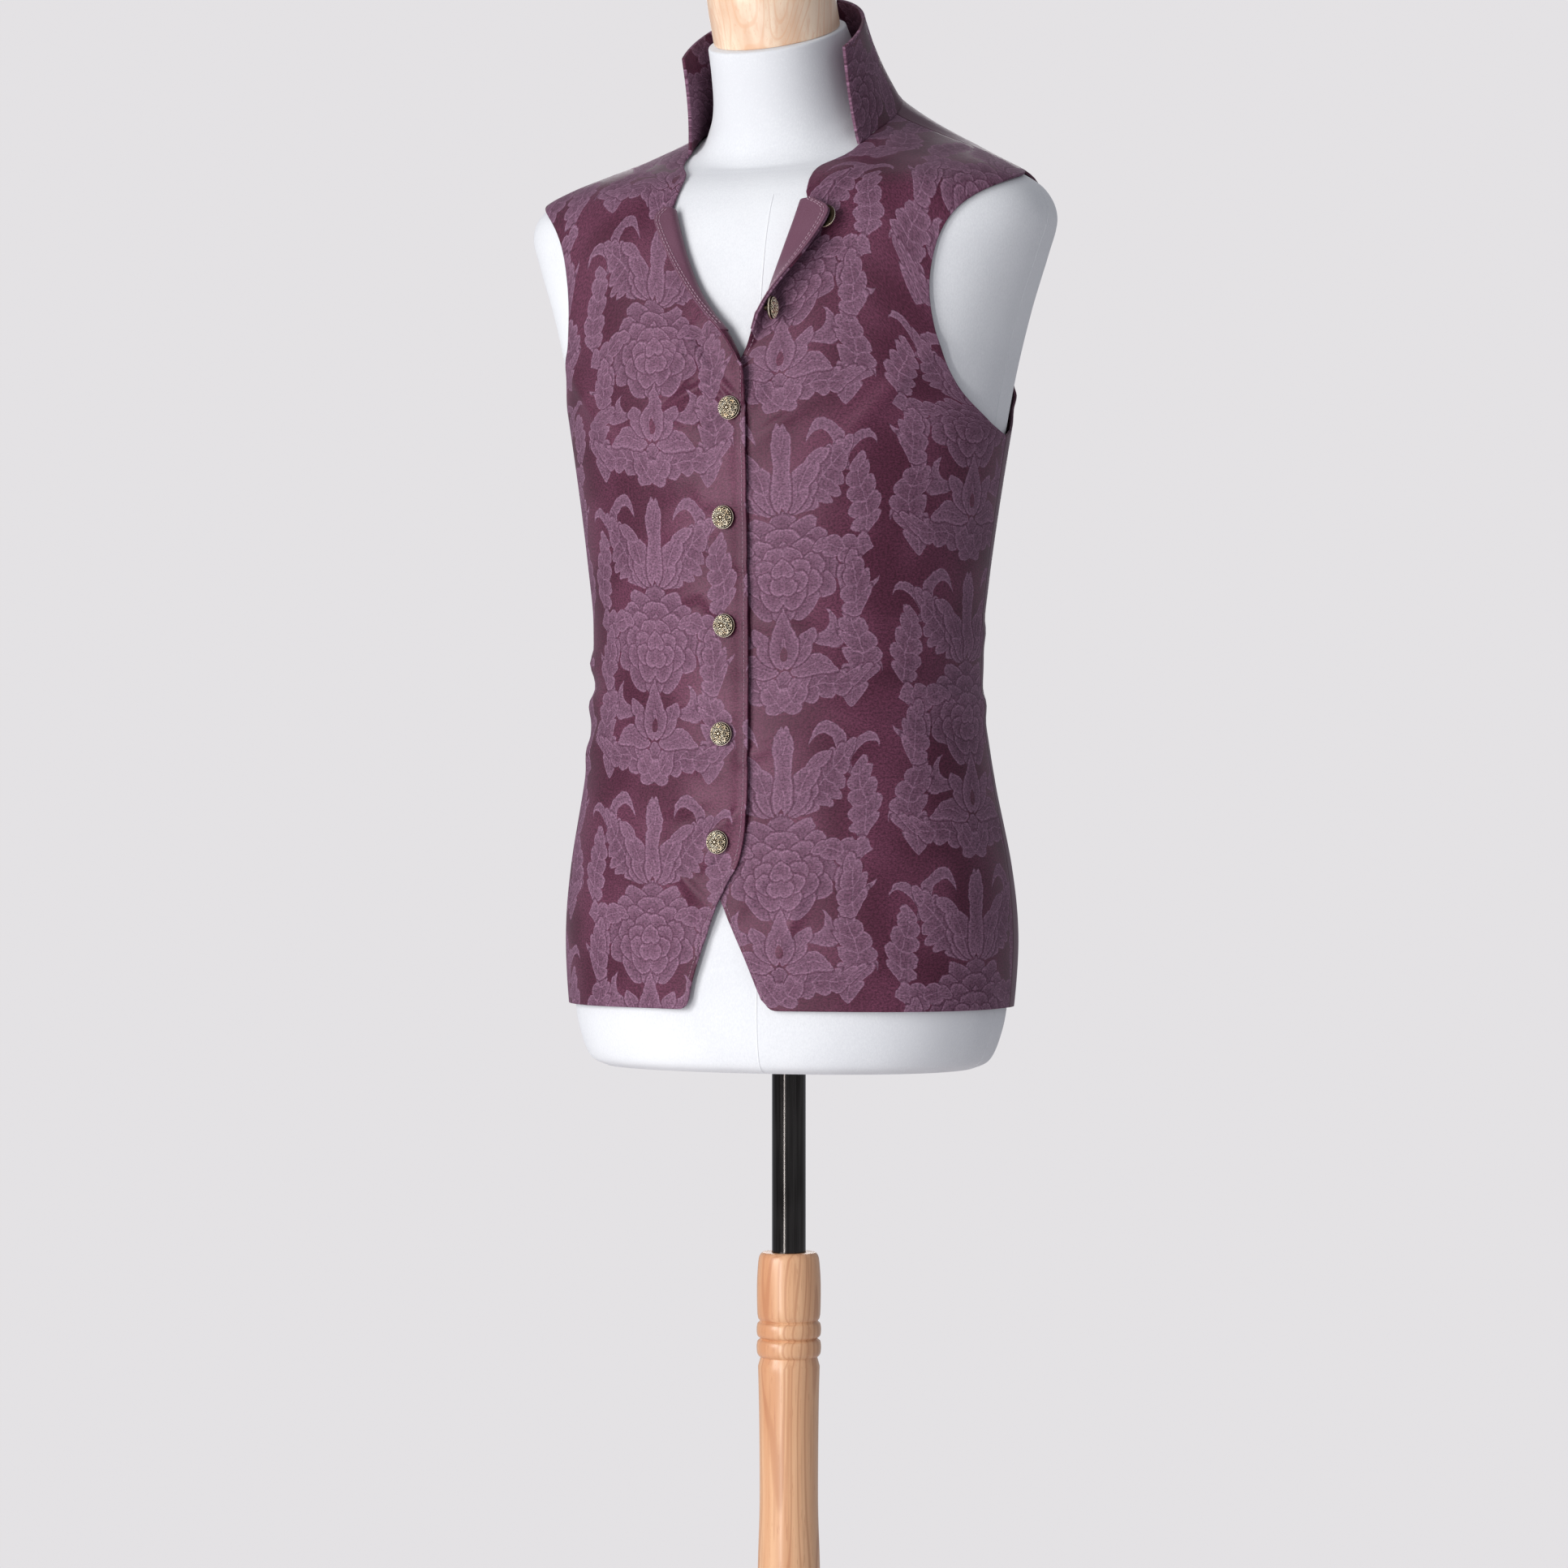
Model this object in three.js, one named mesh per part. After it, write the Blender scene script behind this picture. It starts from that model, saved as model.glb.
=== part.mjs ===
// A damask waistcoat with a tall stand collar, buttoned on a limbless dress form stand.
// Millimetres, +Z up. The front faces -Y and the wearer's left is +X.
import * as THREE from 'three';

// cloth
const wallThickness = 1.8;
const seamGap = 0.3;
const facingThickness = 1;
const collarThickness = 2.6;
const overlapRise = 2.6;
const hollowBridge = 1.5;
const underarmHeight = 1213;
const sideSeamAngle = 96;
const shoulderSeamAngle = 100;
const neckLevel = 19;
const shoulderTipLevel = 16;
const bodyColumns = 14;
const stripColumns = 6;
const neckRows = 5;
const collarSeatRows = 4;
const backUpperRows = 13;
const neckColumns = 6;

// collar
const collarBaseTurn = 59;
const collarTopTurn = 76;
const collarTopRadius = 68;
const collarTopCentreY = -29;
const collarTopFrontY = -45.6;
const collarTopFrontZ = 1494;
const collarTopSlope = 0.625;
const collarColumns = 34;
const collarRows = 5;

// buttons
const buttonRadius = 8.5;
const buttonDome = 4.2;
const buttonRim = 1.2;
const shankRadius = 2.2;
const shankLength = 1.2;
const topButtonHeight = 1229.2;
const buttonSpacing = 77.8;

// dress form and stand
const coverLip = 1.6;
const rodRadius = 12.5;
const rodSocketRadius = 12.8;
const rodSocketTop = 792;
const formUnderside = 752;
const neckBlockRadius = 47;
const neckBlockTilt = 21.8;
const postTop = 614;
const postBoreDepth = 60;
const footRadius = 190;
const footThickness = 28;
const tenonRadius = 16;
const tenonDepth = 20;

// Rings of the dress form, from the underside up. Each row gives half the width, the furthest
// point forward and back with the height of each, the middle, and the cloth's ease over it.
const formLevels = [
  { half: 140, frontY: -98, frontZ: 752, backY: 98, backZ: 752, midY: 0, ease: 2.5 },
  { half: 152, frontY: -106, frontZ: 758, backY: 107, backZ: 758, midY: 0, ease: 2.5 },
  { half: 160, frontY: -110, frontZ: 775, backY: 113, backZ: 775, midY: 0, ease: 2.5 },
  { half: 165, frontY: -111, frontZ: 800, backY: 118, backZ: 800, midY: 0, ease: 2.6 },
  { half: 168, frontY: -110, frontZ: 850, backY: 121, backZ: 850, midY: 0, ease: 2.5 },
  { half: 164, frontY: -108, frontZ: 900, backY: 114, backZ: 900, midY: 0, ease: 2.4 },
  { half: 153, frontY: -106, frontZ: 960, backY: 100, backZ: 960, midY: 0, ease: 2.4 },
  { half: 144, frontY: -105, frontZ: 1020, backY: 91, backZ: 1020, midY: 0, ease: 2.4 },
  { half: 145, frontY: -105, frontZ: 1080, backY: 94, backZ: 1080, midY: 0, ease: 2.4 },
  { half: 152, frontY: -107, frontZ: 1140, backY: 104, backZ: 1140, midY: 0, ease: 2.4 },
  { half: 161, frontY: -109, frontZ: 1200, backY: 114, backZ: 1200, midY: 0, ease: 2.4 },
  { half: 171, frontY: -109, frontZ: 1255, backY: 121, backZ: 1255, midY: 0, ease: 2.4 },
  { half: 184, frontY: -104, frontZ: 1305, backY: 124, backZ: 1305, midY: 0, ease: 2.2 },
  { half: 198, frontY: -97, frontZ: 1345, backY: 122, backZ: 1345, midY: 0, ease: 1.6 },
  { half: 206, frontY: -89, frontZ: 1371, backY: 117, backZ: 1371, midY: 0, ease: 1.4 },
  { half: 198, frontY: -81, frontZ: 1387, backY: 113, backZ: 1394, midY: 0, ease: 1.3 },
  { half: 176, frontY: -74, frontZ: 1396, backY: 109, backZ: 1414, midY: 4, ease: 1.3 },
  { half: 143, frontY: -67, frontZ: 1402, backY: 104, backZ: 1436, midY: 8, ease: 1.3 },
  { half: 108, frontY: -61, frontZ: 1406, backY: 98, backZ: 1458, midY: 12, ease: 1.3 },
  { half: 73, frontY: -55, frontZ: 1411, backY: 88, backZ: 1482, midY: 16, ease: 1.3 },
  { half: 62, frontY: -51, frontZ: 1424, backY: 73, backZ: 1498, midY: 11, ease: 1 },
  { half: 55, frontY: -55, frontZ: 1443, backY: 58, backZ: 1508, midY: 2, ease: 1 },
  { half: 51, frontY: -63, frontZ: 1467, backY: 43, backZ: 1519, midY: -10, ease: 1 },
  { half: 49.5, frontY: -70, frontZ: 1489, backY: 30, backZ: 1529, midY: -20, ease: 1 },
];
const ringFullness = 2.2;

// Edge of each front, from the hem up: how far the visible edge lies past the centre line on
// its own side, the width of the strip beyond the fold, and how far that strip turns back.
const leftEdge = [
  { height: 798, edge: 34.5, width: 5, turn: 0 },
  { height: 816, edge: 26.3, width: 6, turn: 0 },
  { height: 835, edge: 17.8, width: 6, turn: 0 },
  { height: 855, edge: 8.2, width: 6, turn: 0 },
  { height: 875, edge: -1, width: 6, turn: 0 },
  { height: 890, edge: -7.8, width: 6, turn: 0 },
  { height: 905, edge: -11.3, width: 6, turn: 0 },
  { height: 930, edge: -12, width: 6, turn: 0 },
  { height: 960, edge: -12, width: 6, turn: 0 },
  { height: 995, edge: -12, width: 6, turn: 0 },
  { height: 1030, edge: -12, width: 6, turn: 0 },
  { height: 1070, edge: -12, width: 6, turn: 0 },
  { height: 1110, edge: -12, width: 6, turn: 0 },
  { height: 1150, edge: -12, width: 6, turn: 0 },
  { height: 1213, edge: -12, width: 6, turn: 0 },
  { height: 1228, edge: -10, width: 6, turn: 0 },
  { height: 1240, edge: -5, width: 6, turn: 0 },
  { height: 1253, edge: 5, width: 5, turn: 0 },
  { height: 1265, edge: 14.2, width: 5, turn: 0 },
  { height: 1273, edge: 18.8, width: 6, turn: 20 },
  { height: 1284, edge: 25, width: 10, turn: 68 },
  { height: 1298, edge: 31.5, width: 16, turn: 94 },
  { height: 1316, edge: 36.5, width: 23, turn: 128 },
  { height: 1338, edge: 43, width: 29, turn: 157 },
  { height: 1360, edge: 49, width: 35, turn: 167 },
  { height: 1375, edge: 52, width: 32, turn: 170 },
];
const rightEdge = [
  { height: 798, edge: 26.3, width: 5, turn: 0 },
  { height: 816, edge: 23.2, width: 6, turn: 0 },
  { height: 835, edge: 17.2, width: 6, turn: 0 },
  { height: 855, edge: 10.2, width: 6, turn: 0 },
  { height: 875, edge: 2.2, width: 6, turn: 0 },
  { height: 890, edge: -5.4, width: 6, turn: 0 },
  { height: 905, edge: -13.7, width: 6, turn: 0 },
  { height: 930, edge: -18.8, width: 6, turn: 0 },
  { height: 960, edge: -20, width: 6, turn: 0 },
  { height: 995, edge: -20, width: 6, turn: 0 },
  { height: 1030, edge: -20, width: 6, turn: 0 },
  { height: 1070, edge: -20, width: 6, turn: 0 },
  { height: 1110, edge: -20, width: 6, turn: 0 },
  { height: 1150, edge: -20, width: 6, turn: 0 },
  { height: 1213, edge: -20, width: 6, turn: 0 },
  { height: 1228, edge: -20, width: 6, turn: 0 },
  { height: 1240, edge: -20, width: 5, turn: 25 },
  { height: 1253, edge: -19.2, width: 6, turn: 65 },
  { height: 1265, edge: -16, width: 8, turn: 110 },
  { height: 1273, edge: -12, width: 9, turn: 130 },
  { height: 1284, edge: -4.5, width: 10, turn: 142 },
  { height: 1298, edge: 8.5, width: 11, turn: 150 },
  { height: 1316, edge: 22, width: 13, turn: 158 },
  { height: 1338, edge: 33.5, width: 17, turn: 163 },
  { height: 1360, edge: 43, width: 21, turn: 166 },
  { height: 1375, edge: 49.5, width: 22, turn: 168 },
];
const firstFacingRow = 20;

// The neckline from the top of the turned-back edge round to the shoulder, on the form's rings.
const neckline = [
  { angle: 32.3, level: 14.2 },
  { angle: 35.5, level: 16.6 },
  { angle: 42.5, level: 17.9 },
  { angle: 59, level: 18.75 },
  { angle: 72, level: 18.95 },
  { angle: 86, level: 19 },
  { angle: 100, level: 19 },
];

// Armholes from the underarm up to the shoulder tip.
const frontArmhole = [
  { angle: 96, level: 10.24 },
  { angle: 84, level: 10.4 },
  { angle: 72, level: 10.82 },
  { angle: 65, level: 11.6 },
  { angle: 64, level: 12.62 },
  { angle: 70, level: 14.05 },
  { angle: 83, level: 15.3 },
  { angle: 100, level: 16 },
];
const backArmhole = [
  { angle: 96, level: 10.24 },
  { angle: 106, level: 10.45 },
  { angle: 115, level: 10.91 },
  { angle: 119, level: 11.9 },
  { angle: 117, level: 13.1 },
  { angle: 111, level: 14.7 },
  { angle: 100, level: 16 },
];

const post = [
  { radius: tenonRadius, height: footThickness - tenonDepth + seamGap },
  { radius: tenonRadius, height: footThickness + seamGap },
  { radius: 37, height: footThickness + seamGap },
  { radius: 38, height: 34 },
  { radius: 36, height: 44 },
  { radius: 29, height: 54 },
  { radius: 24, height: 66 },
  { radius: 23, height: 84 },
  { radius: 26, height: 140 },
  { radius: 26, height: 210 },
  { radius: 24.5, height: 290 },
  { radius: 23, height: 380 },
  { radius: 21.6, height: 430 },
  { radius: 22, height: 495 },
  { radius: 22.8, height: 530 },
  { radius: 21, height: 536.5 },
  { radius: 23.2, height: 539 },
  { radius: 23.8, height: 544 },
  { radius: 23.2, height: 548.5 },
  { radius: 21, height: 550.5 },
  { radius: 23.2, height: 552.5 },
  { radius: 23.8, height: 557 },
  { radius: 23.2, height: 561.5 },
  { radius: 21.4, height: 563.5 },
  { radius: 23.2, height: 568 },
  { radius: 23.6, height: 590 },
  { radius: 22.6, height: 607 },
  { radius: 19.5, height: postTop },
  { radius: rodSocketRadius, height: postTop },
  { radius: rodSocketRadius, height: postTop - postBoreDepth },
];
const foot = [
  { radius: footRadius - 6, height: 0 },
  { radius: footRadius, height: 5 },
  { radius: footRadius, height: 14 },
  { radius: footRadius - 4, height: 21 },
  { radius: footRadius - 14, height: 25.5 },
  { radius: footRadius - 40, height: footThickness },
  { radius: tenonRadius + seamGap, height: footThickness },
  { radius: tenonRadius + seamGap, height: footThickness - tenonDepth },
];
const neckBlock = [
  { radius: neckBlockRadius, height: 0 },
  { radius: neckBlockRadius, height: 28 },
  { radius: 46, height: 38 },
  { radius: 42.5, height: 46 },
  { radius: 34, height: 52 },
  { radius: 19, height: 55.5 },
];

const degrees = Math.PI / 180;

function mix(a, b, t) {
  return a + (b - a) * t;
}

function smooth(low, high, value) {
  const t = Math.min(1, Math.max(0, (value - low) / (high - low)));
  return t * t * (3 - 2 * t);
}

// One column of a table at a fractional row, on a curve through its rows.
function curveAt(table, column, place) {
  const last = table.length - 1;
  const row = Math.min(last - 1, Math.max(0, Math.floor(place)));
  const t = Math.min(1, Math.max(0, place - row));
  const p0 = table[Math.max(0, row - 1)][column];
  const p1 = table[row][column];
  const p2 = table[row + 1][column];
  const p3 = table[Math.min(last, row + 2)][column];
  const slope1 = (p2 - p0) / 2;
  const slope2 = (p3 - p1) / 2;
  const cube = 2 * p1 - 2 * p2 + slope1 + slope2;
  const square = 3 * p2 - 3 * p1 - 2 * slope1 - slope2;
  return ((cube * t + square) * t + slope1) * t + p1;
}

// A point of the dress form: angle from the front towards the side, level up the table.
function formPoint(angle, level) {
  const half = curveAt(formLevels, 'half', level);
  const frontY = curveAt(formLevels, 'frontY', level);
  const frontZ = curveAt(formLevels, 'frontZ', level);
  const backY = curveAt(formLevels, 'backY', level);
  const backZ = curveAt(formLevels, 'backZ', level);
  const midY = curveAt(formLevels, 'midY', level);
  const ahead = Math.cos(angle * degrees);
  const aside = Math.sin(angle * degrees);
  const depth = ahead > 0 ? midY - frontY : backY - midY;
  const sum = Math.abs(ahead / depth) ** ringFullness + Math.abs(aside / half) ** ringFullness;
  const reach = sum ** (-1 / ringFullness);
  const y = midY - reach * ahead;
  const z = mix(frontZ, backZ, (y - frontY) / (backY - frontY));
  return new THREE.Vector3(reach * aside, y, z);
}

function formNormal(angle, level) {
  const round = formPoint(angle + 0.5, level).sub(formPoint(angle - 0.5, level));
  const up = formPoint(angle, level + 0.02).sub(formPoint(angle, level - 0.02));
  return round.cross(up).normalize();
}

// Soft flutes of the skirts and shallow folds round the waist.
function foldRise(angle, height) {
  const skirt = 1 - smooth(830, 990, height);
  const flute = 0.5 - 0.5 * Math.cos((angle - 30) * 0.115 + 0.5 * Math.sin(angle * 0.05));
  const waist = Math.exp(-(((height - 1035) / 60) ** 2)) * smooth(40, 75, angle);
  const crease = 0.5 + 0.5 * Math.sin(height * 0.105 + angle * 0.045);
  return 1.3 * skirt * flute * smooth(24, 50, angle) + 1.1 * waist * crease;
}

// The middle of the cloth over the form. The right front rises where it covers the left, and
// the back bridges the hollow between the shoulder and the neck.
function clothPoint(angle, level, overlaps) {
  const point = formPoint(angle, level);
  const normal = formNormal(angle, level);
  const ease = curveAt(formLevels, 'ease', level);
  const near = 1 - smooth(20, 62, point.x);
  const low = 1 - smooth(1285, 1325, point.z);
  const rise = overlaps ? overlapRise * near * low : 0;
  const bridge = hollowBridge * smooth(100, 112, angle) * smooth(14.8, 16.4, level);
  const lift = ease + rise + bridge + foldRise(angle, point.z) + wallThickness / 2;
  point.addScaledVector(normal, lift);
  return { point, normal };
}

function levelAtHeight(angle, height) {
  let low = 0;
  let high = neckLevel;
  for (let step = 0; step < 30; step += 1) {
    const level = (low + high) / 2;
    if (formPoint(angle, level).z < height) {
      low = level;
    } else {
      high = level;
    }
  }
  return (low + high) / 2;
}

// Where the cloth stands at a given distance from the centre line and a given height.
function placeAt(distance, height, overlaps) {
  let low = -30;
  let high = 60;
  for (let step = 0; step < 30; step += 1) {
    const angle = (low + high) / 2;
    const level = levelAtHeight(angle, height);
    if (clothPoint(angle, level, overlaps).point.x < distance) {
      low = angle;
    } else {
      high = angle;
    }
  }
  const angle = (low + high) / 2;
  return { angle, level: levelAtHeight(angle, height) };
}

// How far the turned strip reaches past its fold.
function stripReach(row, radius) {
  const turn = row.turn * degrees;
  if (turn < Math.PI / 2) {
    const arc = Math.min(row.width, radius * turn);
    return radius * Math.sin(turn) + (row.width - arc) * Math.cos(turn);
  }
  return radius + wallThickness / 2;
}

function stripPoint(frame, distance, radius, turn) {
  const bend = Math.min(distance / radius, turn * degrees);
  const rest = distance - radius * bend;
  const along = radius * Math.sin(bend) + rest * Math.cos(bend);
  const away = radius * (1 - Math.cos(bend)) + rest * Math.sin(bend);
  const point = frame.point.clone();
  point.addScaledVector(frame.across, along);
  point.addScaledVector(frame.normal, away);
  const normal = frame.normal.clone().multiplyScalar(Math.cos(bend));
  normal.addScaledVector(frame.across, -Math.sin(bend));
  return { point, normal };
}

function stripDistance(row, radius, column) {
  const arc = Math.min(radius * row.turn * degrees, 0.75 * row.width);
  const bendSpan = mix((4 / 6) * row.width, arc, smooth(0, 60, row.turn));
  if (column <= 4) {
    return (bendSpan * column) / 4;
  }
  return mix(bendSpan, row.width, (column - 4) / (stripColumns - 4));
}

// A closed solid between the two faces of a grid, wherever its cells are kept.
function sheetSolid(outer, inner, keep) {
  const positions = [];
  const index = [];
  const rows = outer.length;
  const columns = outer[0].length;
  const place = (row, column, face) => (row * columns + column) * 2 + face;
  for (let row = 0; row < rows; row += 1) {
    for (let column = 0; column < columns; column += 1) {
      positions.push(...outer[row][column].toArray());
      positions.push(...inner[row][column].toArray());
    }
  }
  const kept = (row, column) => {
    const inside = row >= 0 && column >= 0 && row < rows - 1 && column < columns - 1;
    return inside && keep(row, column);
  };
  const quad = (a, b, c, d) => {
    index.push(a, b, c, a, c, d);
  };
  for (let row = 0; row < rows - 1; row += 1) {
    for (let column = 0; column < columns - 1; column += 1) {
      if (!kept(row, column)) {
        continue;
      }
      const a = [row, column];
      const b = [row, column + 1];
      const c = [row + 1, column + 1];
      const d = [row + 1, column];
      quad(place(...a, 0), place(...b, 0), place(...c, 0), place(...d, 0));
      quad(place(...a, 1), place(...d, 1), place(...c, 1), place(...b, 1));
      const sides = [
        { open: !kept(row - 1, column), from: a, to: b },
        { open: !kept(row, column + 1), from: b, to: c },
        { open: !kept(row + 1, column), from: c, to: d },
        { open: !kept(row, column - 1), from: d, to: a },
      ];
      for (const side of sides) {
        if (side.open) {
          const { from, to } = side;
          quad(place(...from, 1), place(...to, 1), place(...to, 0), place(...from, 0));
        }
      }
    }
  }
  return outwardSolid(positions, index);
}

// A closed solid through rings of points. Its ends close on their own middles.
function ringSolid(rings) {
  const positions = [];
  const index = [];
  const count = rings[0].length;
  for (const ring of rings) {
    for (const point of ring) {
      positions.push(...point.toArray());
    }
  }
  for (let row = 0; row < rings.length - 1; row += 1) {
    for (let column = 0; column < count; column += 1) {
      const next = (column + 1) % count;
      const a = row * count + column;
      const b = row * count + next;
      index.push(a, b, b + count, a, b + count, a + count);
    }
  }
  const ends = [rings[0], rings[rings.length - 1]];
  ends.forEach((ring, end) => {
    const middle = new THREE.Vector3();
    ring.forEach((point) => middle.addScaledVector(point, 1 / count));
    const tip = positions.length / 3;
    positions.push(...middle.toArray());
    const start = end === 0 ? 0 : (rings.length - 1) * count;
    for (let column = 0; column < count; column += 1) {
      const a = start + column;
      const b = start + ((column + 1) % count);
      if (end === 0) {
        index.push(tip, b, a);
      } else {
        index.push(tip, a, b);
      }
    }
  });
  return outwardSolid(positions, index);
}

function outwardSolid(positions, index) {
  let volume = 0;
  for (let corner = 0; corner < index.length; corner += 3) {
    const a = new THREE.Vector3().fromArray(positions, index[corner] * 3);
    const b = new THREE.Vector3().fromArray(positions, index[corner + 1] * 3);
    const c = new THREE.Vector3().fromArray(positions, index[corner + 2] * 3);
    volume += a.dot(b.cross(c));
  }
  const ordered = volume < 0 ? [...index].reverse() : index;
  const geometry = new THREE.BufferGeometry();
  geometry.setAttribute('position', new THREE.Float32BufferAttribute(positions, 3));
  geometry.setIndex(ordered);
  geometry.computeVertexNormals();
  return geometry;
}

function roundSolid(profile, segments) {
  const rings = profile.map(({ radius, height }) => {
    const ring = [];
    for (let step = 0; step < segments; step += 1) {
      const angle = (step / segments) * 2 * Math.PI;
      ring.push(new THREE.Vector3(radius * Math.cos(angle), radius * Math.sin(angle), height));
    }
    return ring;
  });
  return ringSolid(rings);
}

function mirrored(grid, side) {
  return grid.map((row) => row.map((point) => new THREE.Vector3(side * point.x, point.y, point.z)));
}

// The two faces of a panel, from its middle points and normals.
function facesOf(middle, side, above, below) {
  const outer = middle.map((row) => row.map(({ point, normal }) => {
    return point.clone().addScaledVector(normal, above);
  }));
  const inner = middle.map((row) => row.map(({ point, normal }) => {
    return point.clone().addScaledVector(normal, -below);
  }));
  return { outer: mirrored(outer, side), inner: mirrored(inner, side) };
}

const fabricColour = new THREE.Color(0x5f3a4c);
const facingColour = new THREE.Color(0x6f4a5f);
const backColour = new THREE.Color(0x583848);
const brassColour = new THREE.Color(0xa08a5e);
const coverColour = new THREE.Color(0xeeeef2);
const beechColour = new THREE.Color(0xd9ac86);
const steelColour = new THREE.Color(0x3a3837);

function plainMaterial(color, roughness, metalness) {
  return new THREE.MeshStandardMaterial({ color, roughness, metalness });
}

const waistcoat = new THREE.Group();
waistcoat.name = 'waistcoat_on_form';

function addPiece(name, geometry, material) {
  const mesh = new THREE.Mesh(geometry, material);
  mesh.name = name;
  waistcoat.add(mesh);
  return mesh;
}

// Fronts: body columns from the fold to the side, then the strip beyond the fold.
function frontGrid(edge, radius, overlaps) {
  const rows = [];
  const frames = [];
  const foldRows = edge.length;
  const total = foldRows + neckRows + collarSeatRows;
  const sideRows = edge.findIndex((row) => row.height === underarmHeight);
  for (let row = 0; row < total; row += 1) {
    let from;
    if (row < foldRows) {
      const fold = edge[row].edge + stripReach(edge[row], radius);
      from = placeAt(fold, edge[row].height, overlaps);
    } else {
      const step = row - foldRows + 1;
      const place = step <= neckRows ? (3 * step) / neckRows : 3 + (3 * (step - neckRows)) / collarSeatRows;
      from = {
        angle: curveAt(neckline, 'angle', place) - (row === total - 1 ? 0.25 : 0),
        level: curveAt(neckline, 'level', place),
      };
    }
    let to;
    if (row <= sideRows) {
      to = { angle: sideSeamAngle - 0.06, level: levelAtHeight(sideSeamAngle, edge[row].height) };
    } else {
      const climb = (row - sideRows) / (total - 1 - sideRows);
      const split = (foldRows - 1 - sideRows) / (total - 1 - sideRows);
      const share = climb < split ? (0.6 * climb) / split : mix(0.6, 1, (climb - split) / (1 - split));
      const place = share * (frontArmhole.length - 1);
      to = {
        angle: curveAt(frontArmhole, 'angle', place) - (row === total - 1 ? 0.2 : 0.06),
        level: curveAt(frontArmhole, 'level', place),
      };
    }
    const line = [];
    for (let column = 0; column <= bodyColumns; column += 1) {
      const t = column / bodyColumns;
      line.push(clothPoint(mix(from.angle, to.angle, t), mix(from.level, to.level, t), overlaps));
    }
    const fold = line[0];
    const beside = clothPoint(from.angle + 0.3, from.level, overlaps).point;
    const across = fold.point.clone().sub(beside);
    across.addScaledVector(fold.normal, -across.dot(fold.normal)).normalize();
    const frame = { point: fold.point, normal: fold.normal, across };
    frames.push(frame);
    const strip = [];
    for (let column = stripColumns; column >= 1; column -= 1) {
      const data = edge[Math.min(row, foldRows - 1)];
      strip.push(stripPoint(frame, stripDistance(data, radius, column), radius, data.turn));
    }
    rows.push([...strip, ...line]);
  }
  return { rows, frames };
}

function addFront(name, side, edge, radius, overlaps) {
  const grid = frontGrid(edge, radius, overlaps);
  const half = wallThickness / 2;
  const faces = facesOf(grid.rows, side, half, half);
  const lastStripRow = edge.length - 1;
  const keep = (row, column) => column >= stripColumns || row < lastStripRow;
  const cloth = plainMaterial(fabricColour, 0.55, 0);
  addPiece(`front_${name}`, sheetSolid(faces.outer, faces.inner, keep), cloth);

  const near = half + seamGap;
  const facingRows = grid.rows.slice(firstFacingRow, edge.length).map((row) => row.slice(0, stripColumns));
  const facing = facesOf(facingRows, side, -near, near + facingThickness);
  const lining = plainMaterial(facingColour, 0.5, 0);
  addPiece(`facing_${name}`, sheetSolid(facing.outer, facing.inner, () => true), lining);
  return grid;
}

const leftFoldRadius = 3.4;
const rightFoldRadius = 2.8;
const leftGrid = addFront('left', 1, leftEdge, leftFoldRadius, false);
addFront('right', -1, rightEdge, rightFoldRadius, true);

// Backs: from the centre-back seam to the side, up to the neckline and shoulder seam.
const sideHeights = leftEdge.filter((row) => row.height <= underarmHeight).map((row) => row.height);

function backTop(column) {
  if (column <= neckColumns) {
    return { angle: mix(179.9, shoulderSeamAngle + 0.25, column / neckColumns), level: neckLevel };
  }
  const t = (column - neckColumns) / (bodyColumns - neckColumns);
  return { angle: shoulderSeamAngle + 0.2, level: mix(neckLevel, shoulderTipLevel, t) };
}

function backPlace(row, column) {
  const across = column / bodyColumns;
  const plain = mix(179.9, sideSeamAngle + 0.06, across);
  if (row < sideHeights.length) {
    return { angle: plain, level: levelAtHeight(sideSeamAngle, sideHeights[row]) };
  }
  const up = (row - sideHeights.length + 1) / backUpperRows;
  const top = backTop(column);
  const corner = backTop(bodyColumns);
  const place = up * (backArmhole.length - 1);
  const armAngle = curveAt(backArmhole, 'angle', place) + 0.06;
  const armLevel = curveAt(backArmhole, 'level', place);
  const underarm = backArmhole[0].level;
  const pull = across ** 2;
  const shiftAngle = armAngle - mix(sideSeamAngle + 0.06, corner.angle, up);
  const shiftLevel = armLevel - mix(underarm, corner.level, up);
  return {
    angle: mix(plain, top.angle, up) + pull * shiftAngle,
    level: mix(underarm, top.level, up) + pull * shiftLevel,
  };
}

function addBack(name, side) {
  const rows = [];
  for (let row = 0; row < sideHeights.length + backUpperRows; row += 1) {
    const line = [];
    for (let column = 0; column <= bodyColumns; column += 1) {
      const { angle, level } = backPlace(row, column);
      line.push(clothPoint(angle, level, false));
    }
    rows.push(line);
  }
  const faces = facesOf(rows, side, wallThickness / 2, wallThickness / 2);
  const cloth = plainMaterial(backColour, 0.45, 0);
  addPiece(`back_${name}`, sheetSolid(faces.outer, faces.inner, () => true), cloth);
}

addBack('left', 1);
addBack('right', -1);

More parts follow.
